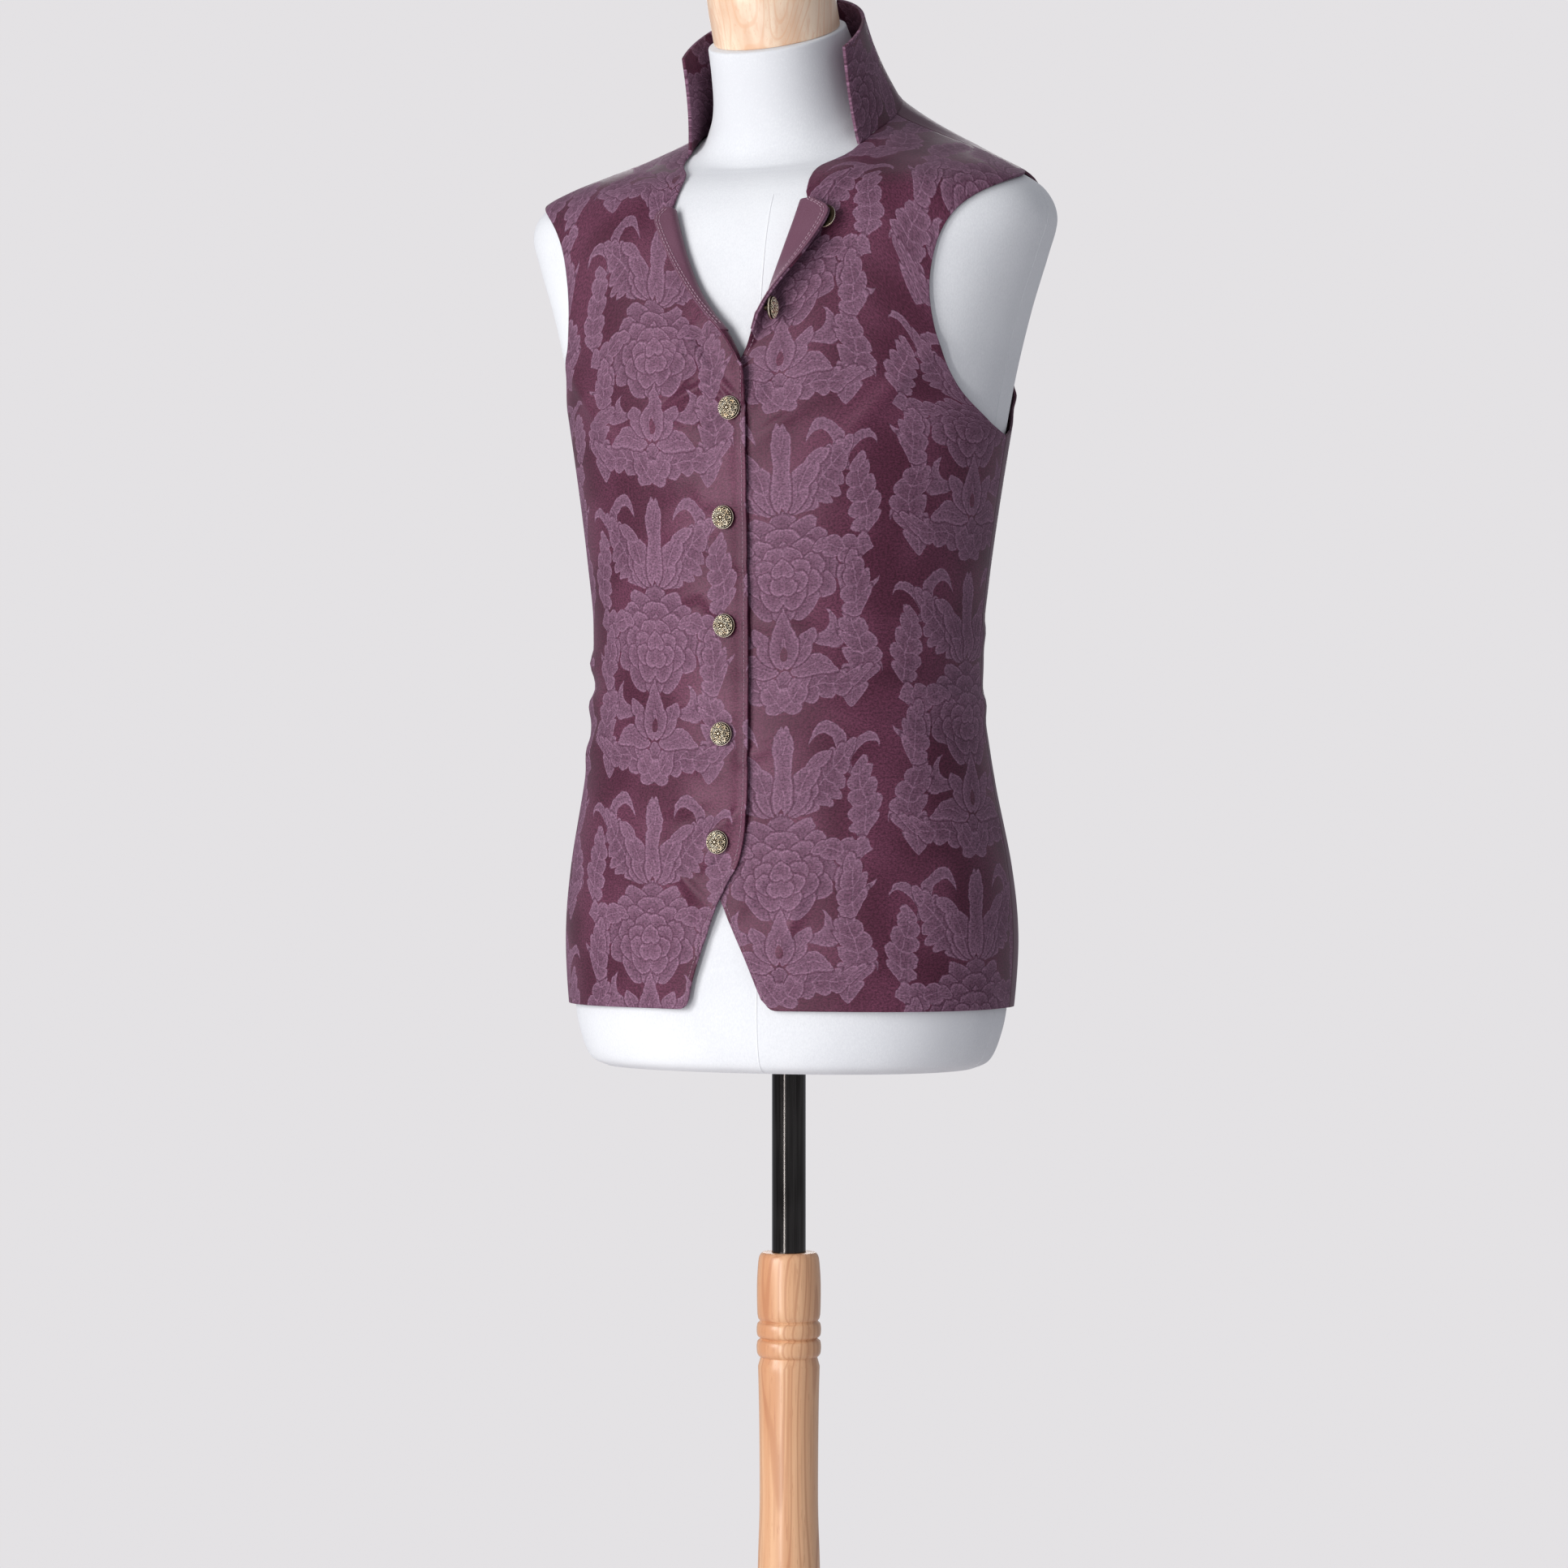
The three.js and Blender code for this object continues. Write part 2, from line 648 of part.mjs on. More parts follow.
// Collar: it stands on the neckline of the cloth and leans forward to its own top ring.
function collarPoint(t, up) {
  const baseTurn = mix(collarBaseTurn, 360 - collarBaseTurn, t);
  const folded = baseTurn > 180 ? 360 - baseTurn : baseTurn;
  const level = folded < 72 ? mix(18.72, neckLevel - 0.06, (folded - 59) / 13) : neckLevel - 0.06;
  const { point: base, normal } = clothPoint(folded, level, false);
  base.addScaledVector(normal, wallThickness / 2 + seamGap + 0.1);
  if (baseTurn > 180) {
    base.x *= -1;
  }
  const topTurn = mix(collarTopTurn, 360 - collarTopTurn, t) * degrees;
  const topX = collarTopRadius * Math.sin(topTurn);
  const topY = collarTopCentreY - collarTopRadius * Math.cos(topTurn);
  const topZ = collarTopFrontZ + collarTopSlope * (topY - collarTopFrontY);
  const top = new THREE.Vector3(topX, topY, topZ);
  const middle = base.clone().lerp(top, 0.5);
  const spread = new THREE.Vector3(middle.x, middle.y - mix(16, collarTopCentreY, 0.5), 0).normalize();
  const swell = -2.5 * Math.sin(up * Math.PI);
  return base.lerp(top, up).addScaledVector(spread, swell);
}

function addCollar() {
  const outer = [];
  const inner = [];
  for (let row = 0; row <= collarRows; row += 1) {
    const up = row / collarRows;
    const outerLine = [];
    const innerLine = [];
    for (let column = 0; column <= collarColumns; column += 1) {
      const t = column / collarColumns;
      const point = collarPoint(t, up);
      const round = collarPoint(Math.min(1, t + 0.005), up).sub(collarPoint(Math.max(0, t - 0.005), up));
      const rise = collarPoint(t, Math.min(1, up + 0.02)).sub(collarPoint(t, Math.max(0, up - 0.02)));
      const inward = rise.cross(round).normalize();
      if (row === 0) {
        inward.z = Math.abs(inward.z) * 0.2 + 0.55;
        inward.normalize();
      }
      outerLine.push(point);
      innerLine.push(point.clone().addScaledVector(inward, collarThickness));
    }
    outer.push(outerLine);
    inner.push(innerLine);
  }
  addPiece('collar', sheetSolid(outer, inner, () => true), plainMaterial(fabricColour, 0.55, 0));
}

addCollar();

// Buttons: five fastened through the right front, and two on the turned-back left edge.
function buttonProfile(shank) {
  return [
    { radius: shankRadius, height: 0 },
    { radius: shankRadius, height: shank },
    { radius: buttonRadius - 0.6, height: shank },
    { radius: buttonRadius, height: shank + 0.5 },
    { radius: buttonRadius, height: shank + buttonRim },
    { radius: buttonRadius * 0.86, height: shank + buttonRim + buttonDome * 0.42 },
    { radius: buttonRadius * 0.6, height: shank + buttonRim + buttonDome * 0.76 },
    { radius: buttonRadius * 0.28, height: shank + buttonRim + buttonDome * 0.96 },
  ];
}

function addButton(number, point, facing, shank) {
  const brass = plainMaterial(brassColour, 0.38, 0.85);
  const button = addPiece(`button_${number}`, roundSolid(buttonProfile(shank), 14), brass);
  button.position.copy(point);
  button.quaternion.setFromUnitVectors(new THREE.Vector3(0, 0, 1), facing);
}

const buttonInset = [
  { height: topButtonHeight, inset: 11.8 },
  { height: topButtonHeight - buttonSpacing, inset: 17.7 },
  { height: topButtonHeight - 2 * buttonSpacing, inset: 18.1 },
  { height: topButtonHeight - 3 * buttonSpacing, inset: 20.3 },
  { height: topButtonHeight - 4 * buttonSpacing, inset: 22.4 },
];
const overlapPast = 20;
buttonInset.forEach(({ height, inset }, order) => {
  const place = placeAt(inset - overlapPast, height, true);
  const { point, normal } = clothPoint(place.angle, place.level, true);
  point.addScaledVector(normal, wallThickness / 2 + seamGap + 0.1);
  const spot = new THREE.Vector3(-point.x, point.y, point.z);
  const facing = new THREE.Vector3(-normal.x, normal.y, normal.z);
  addButton(order + 1, spot, facing, shankLength);
});

// An undone button sits on the damask side of the left lapel, part of the way to its free edge.
function addLapelButton(number, height, share, shank, gap) {
  const upper = leftEdge.findIndex((row) => row.height >= height);
  const t = (height - leftEdge[upper - 1].height) / (leftEdge[upper].height - leftEdge[upper - 1].height);
  const spots = [upper - 1, upper].map((row) => {
    const distance = leftEdge[row].width * share;
    return stripPoint(leftGrid.frames[row], distance, leftFoldRadius, leftEdge[row].turn);
  });
  const point = spots[0].point.lerp(spots[1].point, t);
  const normal = spots[0].normal.lerp(spots[1].normal, t).normalize();
  point.addScaledVector(normal, wallThickness / 2 + gap);
  addButton(number, point, normal, shank);
}

addLapelButton(6, 1298, 0.78, 3.6, 1.2);
addLapelButton(7, 1361, 0.84, shankLength, 0.5);

// The dress form: a smooth whole torso with a socket for the rod underneath.
function formRing(level, angleCount) {
  const ring = [];
  for (let step = 0; step < angleCount; step += 1) {
    ring.push(formPoint((step / angleCount) * 360, level));
  }
  return ring;
}

function circleRing(radius, height, angleCount) {
  const ring = [];
  for (let step = 0; step < angleCount; step += 1) {
    const angle = (step / angleCount) * 360 * degrees;
    ring.push(new THREE.Vector3(radius * Math.sin(angle), -radius * Math.cos(angle), height));
  }
  return ring;
}

function shrunkRing(ring, factor, lift) {
  const middle = new THREE.Vector3();
  ring.forEach((point) => middle.addScaledVector(point, 1 / ring.length));
  return ring.map((point) => {
    const moved = middle.clone().lerp(point, factor);
    moved.addScaledVector(neckAxis, lift);
    return moved;
  });
}

const neckAxis = new THREE.Vector3(0, -Math.sin(neckBlockTilt * degrees), Math.cos(neckBlockTilt * degrees));
const formSegments = 52;
const torsoRings = [];
torsoRings.push(circleRing(rodSocketRadius, rodSocketTop, formSegments));
torsoRings.push(circleRing(rodSocketRadius, formUnderside, formSegments));
for (let level = 0; level < formLevels.length - 1; level += 1) {
  torsoRings.push(formRing(level, formSegments));
  const halfway = level >= 12 && level <= 20;
  if (halfway) {
    torsoRings.push(formRing(level + 0.5, formSegments));
  }
}
const coverTop = formRing(formLevels.length - 1, formSegments);
torsoRings.push(coverTop);
torsoRings.push(shrunkRing(coverTop, 0.97, coverLip));
addPiece('form_torso', ringSolid(torsoRings), plainMaterial(coverColour, 0.8, 0));

const neckMiddle = new THREE.Vector3();
coverTop.forEach((point) => neckMiddle.addScaledVector(point, 1 / coverTop.length));
const neckPiece = addPiece('form_neck', roundSolid(neckBlock, 32), plainMaterial(beechColour, 0.5, 0));
neckPiece.position.copy(neckMiddle).addScaledVector(neckAxis, coverLip + seamGap);
neckPiece.quaternion.setFromUnitVectors(new THREE.Vector3(0, 0, 1), neckAxis);

// The stand: a steel rod between the form and the turned post, and a round foot.
const rod = [
  { radius: rodRadius, height: postTop - postBoreDepth + seamGap },
  { radius: rodRadius, height: rodSocketTop - seamGap },
];
addPiece('stand_rod', roundSolid(rod, 24), plainMaterial(steelColour, 0.3, 0.9));
addPiece('stand_post', roundSolid(post, 22), plainMaterial(beechColour, 0.45, 0));
addPiece('stand_base', roundSolid(foot, 44), plainMaterial(beechColour, 0.45, 0));

export default waistcoat;
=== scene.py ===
import math
import bpy
from mathutils import Matrix, Vector


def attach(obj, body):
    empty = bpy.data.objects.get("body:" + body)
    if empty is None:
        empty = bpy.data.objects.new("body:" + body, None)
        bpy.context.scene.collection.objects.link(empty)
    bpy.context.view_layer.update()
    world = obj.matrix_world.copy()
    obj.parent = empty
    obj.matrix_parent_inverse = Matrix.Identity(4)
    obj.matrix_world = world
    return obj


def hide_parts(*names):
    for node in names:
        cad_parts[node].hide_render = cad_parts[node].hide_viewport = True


# A damask waistcoat buttoned on a dress form stand. Tables and dictionaries are in millimetres,
# and meshes in metres. The front faces -Y and the wearer's left is +X.
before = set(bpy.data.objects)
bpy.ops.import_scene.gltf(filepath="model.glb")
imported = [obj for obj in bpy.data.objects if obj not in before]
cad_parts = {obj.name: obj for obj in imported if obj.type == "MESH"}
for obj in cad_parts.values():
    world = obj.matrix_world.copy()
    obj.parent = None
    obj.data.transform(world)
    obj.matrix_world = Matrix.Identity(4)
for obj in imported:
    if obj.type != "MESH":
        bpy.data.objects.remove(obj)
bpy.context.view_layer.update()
mm = 0.001
print("frame loaded")

# small helpers

def mix(a, b, t):
    return a + (b - a) * t


def smooth(low, high, value):
    t = min(1.0, max(0.0, (value - low) / (high - low)))
    return t * t * (3 - 2 * t)


def curveAt(table, column, place):
    # a smooth curve through one column of a table, read at any place between its rows
    last = len(table) - 1
    row = min(last - 1, max(0, math.floor(place)))
    t = min(1.0, max(0.0, place - row))
    p0 = table[max(0, row - 1)][column]
    p1 = table[row][column]
    p2 = table[row + 1][column]
    p3 = table[min(last, row + 2)][column]
    slope1 = (p2 - p0) / 2
    slope2 = (p3 - p1) / 2
    cube = 2 * p1 - 2 * p2 + slope1 + slope2
    square = 3 * p2 - 3 * p1 - 2 * slope1 - slope2
    return ((cube * t + square) * t + slope1) * t + p1


# camera: level with the waist, turned a little to the wearer's left

camera = {
    "azimuth": 25.0,
    "height": 0.96,
    "distance": 3.4,
    "lens": 105.6,
    "aside": -0.0036,  # puts the pole a little right of the middle
}


def addCamera(spec):
    turn = math.radians(spec["azimuth"])
    across = Vector((math.cos(turn), math.sin(turn), 0))
    towards = Vector((math.sin(turn), -math.cos(turn), 0))
    aim = across * spec["aside"] + Vector((0, 0, spec["height"]))
    lensData = bpy.data.cameras.new("view")
    lensData.lens = spec["lens"]
    lensData.sensor_width = 36
    lensData.clip_end = 60
    viewer = bpy.data.objects.new("view", lensData)
    bpy.context.collection.objects.link(viewer)
    viewer.location = aim + towards * spec["distance"]
    viewer.rotation_euler = (math.pi / 2, 0, turn)
    bpy.context.scene.camera = viewer


addCamera(camera)


# shader maths: a wire is one output socket, and arithmetic on it adds nodes

class Wire:
    def __init__(self, tree, socket=None):
        self.tree = tree
        self.socket = socket

    def node(self, kind, settings=None, inputs=None, out=0):
        made = self.tree.nodes.new(kind)
        for key, value in (settings or {}).items():
            setattr(made, key, value)
        for key, value in (inputs or {}).items():
            if isinstance(value, Wire):
                self.tree.links.new(value.socket, made.inputs[key])
            else:
                made.inputs[key].default_value = value
        return Wire(self.tree, made.outputs[out] if made.outputs else None)

    def maths(self, operation, other=0.0, first=None):
        inputs = {0: self if first is None else first, 1: other}
        return self.node("ShaderNodeMath", {"operation": operation}, inputs)

    def __add__(self, other):
        return self.maths("ADD", other)

    def __radd__(self, other):
        return self.maths("ADD", other)

    def __sub__(self, other):
        return self.maths("SUBTRACT", other)

    def __rsub__(self, other):
        return self.maths("SUBTRACT", self, other)

    def __mul__(self, other):
        return self.maths("MULTIPLY", other)

    def __rmul__(self, other):
        return self.maths("MULTIPLY", other)

    def __truediv__(self, other):
        return self.maths("DIVIDE", other)

    def __pow__(self, other):
        return self.maths("POWER", other)

    def upper(self, other):
        return self.maths("MAXIMUM", other)

    def size(self):
        return self.maths("ABSOLUTE")

    def root(self):
        return self.maths("SQRT")

    def sine(self):
        return self.maths("SINE")

    def whole(self):
        return self.maths("FLOOR")

    def place(self):
        # Object coordinates
        return self.node("ShaderNodeTexCoord", None, None, 3)

    def wrap(self, span):
        return self - (self / span).whole() * span

    def step(self, low, high, bottom=0.0, top=1.0):
        settings = {"interpolation_type": "SMOOTHSTEP"}
        inputs = {"Value": self, "From Min": low, "From Max": high, "To Min": bottom, "To Max": top}
        return self.node("ShaderNodeMapRange", settings, inputs)

    def blend(self, dark, light):
        settings = {"data_type": "RGBA"}
        return self.node("ShaderNodeMix", settings, {"Factor": self, 6: dark, 7: light}, 2)

    def noise(self, place, scale, detail=2.0, rough=0.5):
        inputs = {"Vector": place, "Scale": scale, "Detail": detail, "Roughness": rough}
        return self.node("ShaderNodeTexNoise", None, inputs)

    def stretched(self, place, scale):
        return self.node("ShaderNodeVectorMath", {"operation": "MULTIPLY"}, {0: place, 1: scale})


def startMaterial(name, values):
    material = bpy.data.materials.new(name)
    material.use_nodes = True
    shader = material.node_tree.nodes["Principled BSDF"]
    for key, value in values.items():
        shader.inputs[key].default_value = value
    return material, shader, Wire(material.node_tree)


def link(wire, shader, key):
    wire.tree.links.new(wire.socket, shader.inputs[key])


def linkBump(wire, shader, strength, distance):
    inputs = {"Strength": strength, "Distance": distance, "Height": wire}
    link(wire.node("ShaderNodeBump", None, inputs), shader, "Normal")


def colour(red, green, blue):
    def linear(value):
        value /= 255
        return value / 12.92 if value <= 0.04045 else ((value + 0.055) / 1.055) ** 2.4
    return (linear(red), linear(green), linear(blue), 1)


# damask: leaves and flowers in a half-drop repeat, in millimetres of cloth

damask = {
    "repeatWidth": 148.0,
    "repeatHeight": 217.0,
    "ground": colour(72, 32, 49),
    # painted sheen: the ground's lighter tone where the satin seems to catch the light
    "groundPaintedSheen": colour(90, 47, 66),
    "figure": colour(84, 52, 70),
    # the figure's pale outline, with painted highlight on its rims and under the painted sheen
    "figureOutlineAndHighlight": colour(131, 97, 118),
    "lobeRake": 0.55,
}

# painted in this order, later ones over earlier ones, and mirrored across the repeat
# leaf: foot of the leaf, turn from upright, length, half width, sideways bend and lobes
leafColumns = ("x", "y", "turn", "long", "wide", "bend", "lobes")
damaskLeaves = [dict(zip(leafColumns, row)) for row in (
    (8, 148, 62, 62, 15, -26, 6),
    (5, 146, 52, 40, 9, -16, 3),
    (3, 146, 24, 52, 10, 12, 3),
    (0, 146, 0, 64, 9, 0, 1),
    (63, 126, -18, 58, 13, 14, 5),
    (68, 116, -70, 42, 11, -14, 4),
    (50, 6, 14, 70, 15, -18, 6),
    (58, 70, -30, 46, 12, 18, 4),
    (4, 20, 104, 54, 13, -24, 5),
    (0, 3, 48, 34, 10, -10, 3),
    (3, 32, 70, 33, 9, 13, 1),
    (2, 36, 30, 33, 8.5, 7, 2),
    (0, 33, 0, 45, 10, 0, 1),
)]
# the full flower: rings of petals round its middle, the outermost first
flowerHeight = 106.0
ringColumns = ("petals", "reach", "size", "offset")
flowerRings = [dict(zip(ringColumns, row)) for row in (
    (12, 30, 10.5, 0.0), (10, 21, 9.0, 0.5), (8, 12, 7.5, 0.0), (1, 0, 6.5, 0.0))]
damaskPetals = []
for ring in flowerRings:
    for i in range(ring["petals"]):
        turn = 2 * math.pi * (i + ring["offset"]) / ring["petals"]
        x = ring["reach"] * math.sin(turn)
        if x > -0.6 * ring["size"]:
            y = flowerHeight + ring["reach"] * math.cos(turn)
            damaskPetals.append({"x": x, "y": y, "size": ring["size"]})
damaskPetals.append({"x": 0, "y": 24, "size": 8})

# scrolls: a round with a smaller round cut out of it, so that it ends in two points
scrollColumns = ("x", "y", "size", "cutX", "cutY", "cutSize")
damaskScrolls = [dict(zip(scrollColumns, row)) for row in (
    (52, 98, 15, 57, 103, 12),
    (30, 60, 14, 25, 66, 10.5),
    (31, 196, 14, 27, 190, 10.5),
    (56, 188, 13, 61, 184, 10),
    (58, 28, 12, 62, 23, 9),
)]


def leafShape(x, y, leaf):
    turn = math.radians(leaf["turn"])
    dx = x - leaf["x"]
    dy = y - leaf["y"]
    t = (dy * math.cos(turn) + dx * math.sin(turn)) / leaf["long"]
    side = (dx * math.cos(turn) - dy * math.sin(turn) - t * t * leaf["bend"]).size()
    rake = t - side * (damask["lobeRake"] / leaf["long"])
    lobes = (rake * (math.pi * leaf["lobes"])).sine().size()
    body = (t * (1 - t) * 4).upper(0.0) ** 0.65 * leaf["wide"]
    edge = (side - body * (lobes ** 0.6 * 0.36 + 0.64)) * 0.8
    distance = edge.upper(((t - 0.5).size() - 0.5) * leaf["long"])
    veins = side.step(0.75, 0.3).upper(lobes.step(0.26, 0.1))
    return distance, veins


def petalShape(x, y, petal):
    reach = ((x - petal["x"]) ** 2.0 + (y - petal["y"]) ** 2.0).root()
    return reach - petal["size"]


def scrollShape(x, y, scroll):
    outer = ((x - scroll["x"]) ** 2.0 + (y - scroll["y"]) ** 2.0).root() - scroll["size"]
    inner = ((x - scroll["cutX"]) ** 2.0 + (y - scroll["cutY"]) ** 2.0).root() - scroll["cutSize"]
    return outer.upper(inner * -1)


def paint(figure, shade, distance, veins=None):
    # each shape has a light rim, the damask's pale outline brightened as a painted highlight, a dark line
    # round it, painted shadow cast on the shapes below, and painted shade that darkens its middle
    inside = distance.step(0.3, -0.3)
    # painted shadow: a dark line just outside each shape, over whatever lies beneath
    outside = (distance - 0.7).size().step(0.9, 0.3)
    rim = (distance + 0.8).size().step(0.8, 0.3)
    # painted shade darker towards each shape's middle, and painted highlight at its rim
    body = distance.step(-8.0, -0.5, 0.22, 0.62).upper(rim)
    if veins is not None:
        body = body.upper(veins * 0.85)
    if figure is None:
        return inside, body * inside
    return figure.upper(inside), shade * (1 - inside.upper(outside)) + body * inside


def damaskPattern(wire):
    cloth = wire.node("ShaderNodeUVMap", {"uv_map": "cloth"})
    across = wire.node("ShaderNodeSeparateXYZ", None, {0: cloth})
    up = Wire(wire.tree, across.socket.node.outputs[1])
    width = damask["repeatWidth"]
    height = damask["repeatHeight"]
    column = ((across + width / 2) / width).whole()
    x = ((across + width / 2).wrap(width) - width / 2).size()
    y = (up + column.wrap(2.0) * (height / 2)).wrap(height)
    ragged = wire.noise(cloth, 0.16, 2.0, 0.5) * 3.2 - 1.6
    sway = (y * (2 * math.pi / 54.25)).sine() * 2.6 + ragged
    y = y + (x * (2 * math.pi / 37)).sine() * 2.4 + ragged
    x = x + sway
    figure, shade = None, None
    for petal in damaskPetals:
        figure, shade = paint(figure, shade, petalShape(x, y, petal))
    for scroll in damaskScrolls:
        figure, shade = paint(figure, shade, scrollShape(x, y, scroll))
    for leaf in damaskLeaves:
        figure, shade = paint(figure, shade, *leafShape(x, y, leaf))
    eye = ((x - sway) ** 2.0 * 3.6 + (y - 44) ** 2.0).root() - 5.5
    figure = figure * eye.step(-0.3, 0.3)
    shade = shade.upper(eye.size().step(0.9, 0.3) * 0.8)
    return cloth, figure, shade


silkSheen = {"Sheen Roughness": 0.35, "Sheen Tint": colour(200, 150, 175)}


def damaskMaterial():
    values = {"Specular IOR Level": 0.3, "Specular Tint": (0.95, 0.66, 0.79, 1), "Sheen Weight": 0.08,
              "Anisotropic": 0.35, **silkSheen}
    material, shader, wire = startMaterial("damask", values)
    cloth, mask, shade = damaskPattern(wire)
    grain = wire.noise(cloth, 0.6, 4.0, 0.75)
    slub = wire.noise(wire.stretched(cloth, (0.35, 1.6, 1.0)), 1.0, 2.0, 0.5)
    # broad soft patches of painted sheen, lightening the ground and a little of the figure
    paintedSheen = wire.noise(cloth, 0.02, 1.0, 0.4)
    ground = paintedSheen.step(0.35, 0.65).blend(damask["ground"], damask["groundPaintedSheen"])
    figure = (shade * 0.85 + paintedSheen.step(0.35, 0.65) * 0.15).blend(damask["figure"], damask["figureOutlineAndHighlight"])
    body = mask.blend(ground, figure)
    speck = (grain * 0.7 + slub * 0.3).step(0.35, 0.65, 0.46, 1.54)
    tone = wire.node("ShaderNodeVectorMath", {"operation": "SCALE"}, {0: body, "Scale": speck})
    link(tone, shader, "Base Color")
    link(mask * 0.2 + grain * 0.12 + 0.33, shader, "Roughness")
    linkBump(grain * 0.6 + slub * 0.4, shader, 0.4, 0.0005)
    return material


def satinMaterial(name, dark, light):
    values = {"Specular IOR Level": 0.42, "Specular Tint": (0.95, 0.68, 0.8, 1), "Sheen Weight": 0.12,
              "Anisotropic": 0.3, **silkSheen}
    material, shader, wire = startMaterial(name, values)
    cloth = wire.node("ShaderNodeUVMap", {"uv_map": "cloth"})
    thread = wire.noise(wire.stretched(cloth, (0.6, 4.0, 1.0)), 1.0, 2.0, 0.6)
    broad = wire.noise(cloth, 0.02, 2.0, 0.5)
    tone = (broad * 0.15 + thread * 0.85).step(0.25, 0.75).blend(dark, light)
    link(tone, shader, "Base Color")
    link(thread * 0.16 + 0.32, shader, "Roughness")
    linkBump(thread, shader, 0.3, 0.0003)
    return material


def coverMaterial():
    values = {"Specular IOR Level": 0.3, "Sheen Weight": 0.15, "Sheen Roughness": 0.6}
    material, shader, wire = startMaterial("form_cover", values)
    place = wire.place()
    knit = wire.noise(wire.stretched(place, (900.0, 900.0, 500.0)), 1.0, 2.0, 0.6)
    broad = wire.noise(place, 9.0, 3.0, 0.5)
    tone = (broad * 0.6 + knit * 0.4).step(0.35, 0.65).blend(colour(218, 219, 222), colour(229, 230, 232))
    link(tone, shader, "Base Color")
    link(knit * 0.15 + 0.72, shader, "Roughness")
    linkBump(knit, shader, 0.25, 0.0004)
    return material


def beechMaterial(name, dark, light, fleck, upright=True):
    values = {"Specular IOR Level": 0.5, "Coat Weight": 0.35, "Coat Roughness": 0.22}
    material, shader, wire = startMaterial(name, values)
    place = wire.place()
    if not upright:
        place = wire.node("ShaderNodeMapping", None, {"Vector": place, "Rotation": (0, math.pi / 2, 0)})
    waver = wire.noise(place, 7.0, 2.0, 0.5)
    rings = wire.noise(wire.stretched(place, (70.0, 46.0, 3.2)), 1.0, 3.0, 0.55)
    pores = wire.noise(wire.stretched(place, (900.0, 900.0, 60.0)), 1.0, 2.0, 0.6)
    figure = (rings * 0.8 + waver * 0.2).step(0.34, 0.66)
    body = figure.blend(light, dark)
    arches = wire.noise(wire.stretched(place, (26.0, 26.0, 2.2)), 1.0, 1.0, 0.4)
    lines = (arches * 95).sine().step(0.55, 1.0) * 0.45
    streaks = wire.noise(wire.stretched(place, (330.0, 330.0, 7.0)), 1.0, 2.0, 0.6).step(0.5, 0.72) * 0.4
    tone = (pores.step(0.6, 0.74) * 0.5).upper(lines).upper(streaks).blend(body, fleck)
    link(tone, shader, "Base Color")
    link(pores * 0.15 + 0.34, shader, "Roughness")
    linkBump(pores + rings * 0.4, shader, 0.15, 0.0003)
    return material


def steelMaterial():
    values = {"Specular IOR Level": 0.5, "Metallic": 1.0}
    material, shader, wire = startMaterial("dark_steel", values)
    place = wire.place()
    drawn = wire.noise(wire.stretched(place, (600.0, 600.0, 12.0)), 1.0, 2.0, 0.6)
    smear = wire.noise(place, 14.0, 2.0, 0.5)
    # painted reflection: the polished rod's base colour is darkened so it looks as if it mirrored dark
    # surroundings
    tone = (drawn * 0.5 + smear * 0.5).step(0.35, 0.65).blend(colour(44, 41, 40), colour(74, 71, 69))
    link(tone, shader, "Base Color")
    link(smear * 0.1 + drawn * 0.06 + 0.08, shader, "Roughness")
    linkBump(drawn, shader, 0.08, 0.0002)
    return material


def brassMaterial(name, dark, light, rough):
    values = {"Specular IOR Level": 0.5, "Metallic": 0.9}
    material, shader, wire = startMaterial(name, values)
    place = wire.place()
    wear = wire.noise(place, 420.0, 3.0, 0.6)
    tarnish = wire.noise(place, 110.0, 2.0, 0.5)
    tone = (wear * 0.6 + tarnish * 0.4).step(0.35, 0.65).blend(dark, light)
    link(tone, shader, "Base Color")
    link(wear * 0.25 + rough, shader, "Roughness")
    linkBump(wear, shader, 0.2, 0.0002)
    return material


def threadMaterial():
    values = {"Specular IOR Level": 0.4, "Sheen Weight": 0.3}
    material, shader, wire = startMaterial("thread", values)
    place = wire.place()
    twist = wire.noise(place, 1400.0, 2.0, 0.5)
    tone = twist.step(0.3, 0.7).blend(colour(132, 96, 114), colour(172, 138, 154))
    link(tone, shader, "Base Color")
    link(twist * 0.2 + 0.45, shader, "Roughness")
    return material


# dark and light wood, and the flecks in it
beechTones = (colour(206, 146, 104), colour(230, 182, 140), colour(176, 110, 72))
# the neck's beech is the same wood lightened: painted light making up for the shade the collar casts on it
shadeLiftedBeechTones = (colour(228, 192, 162), colour(246, 222, 196), colour(226, 172, 132))
finishes = {
    "damask": damaskMaterial(),
    "facing": satinMaterial("facing_satin", colour(92, 56, 72), colour(116, 80, 97)),
    "back": satinMaterial("back_satin", colour(72, 40, 54), colour(90, 56, 70)),
    "cover": coverMaterial(),
    "beech": beechMaterial("beech", *beechTones),
    "footWood": beechMaterial("foot_beech", *beechTones, False),
    "neckWood": beechMaterial("neck_beech", *shadeLiftedBeechTones),
    "steel": steelMaterial(),
    "brass": brassMaterial("button_brass", colour(238, 216, 182), colour(255, 248, 228), 0.1),
    # painted shade: the ground under the pierced dome is near black so the holes read as shaded hollows
    "brassHollowShade": brassMaterial("button_hollow_shade", colour(30, 23, 16), colour(66, 53, 38), 0.4),
    "thread": threadMaterial(),
}
print("materials made")


# what every piece needs

def deselect():
    bpy.ops.object.select_all(action="DESELECT")


def selectOnly(piece):
    deselect()
    piece.select_set(True)
    bpy.context.view_layer.objects.active = piece


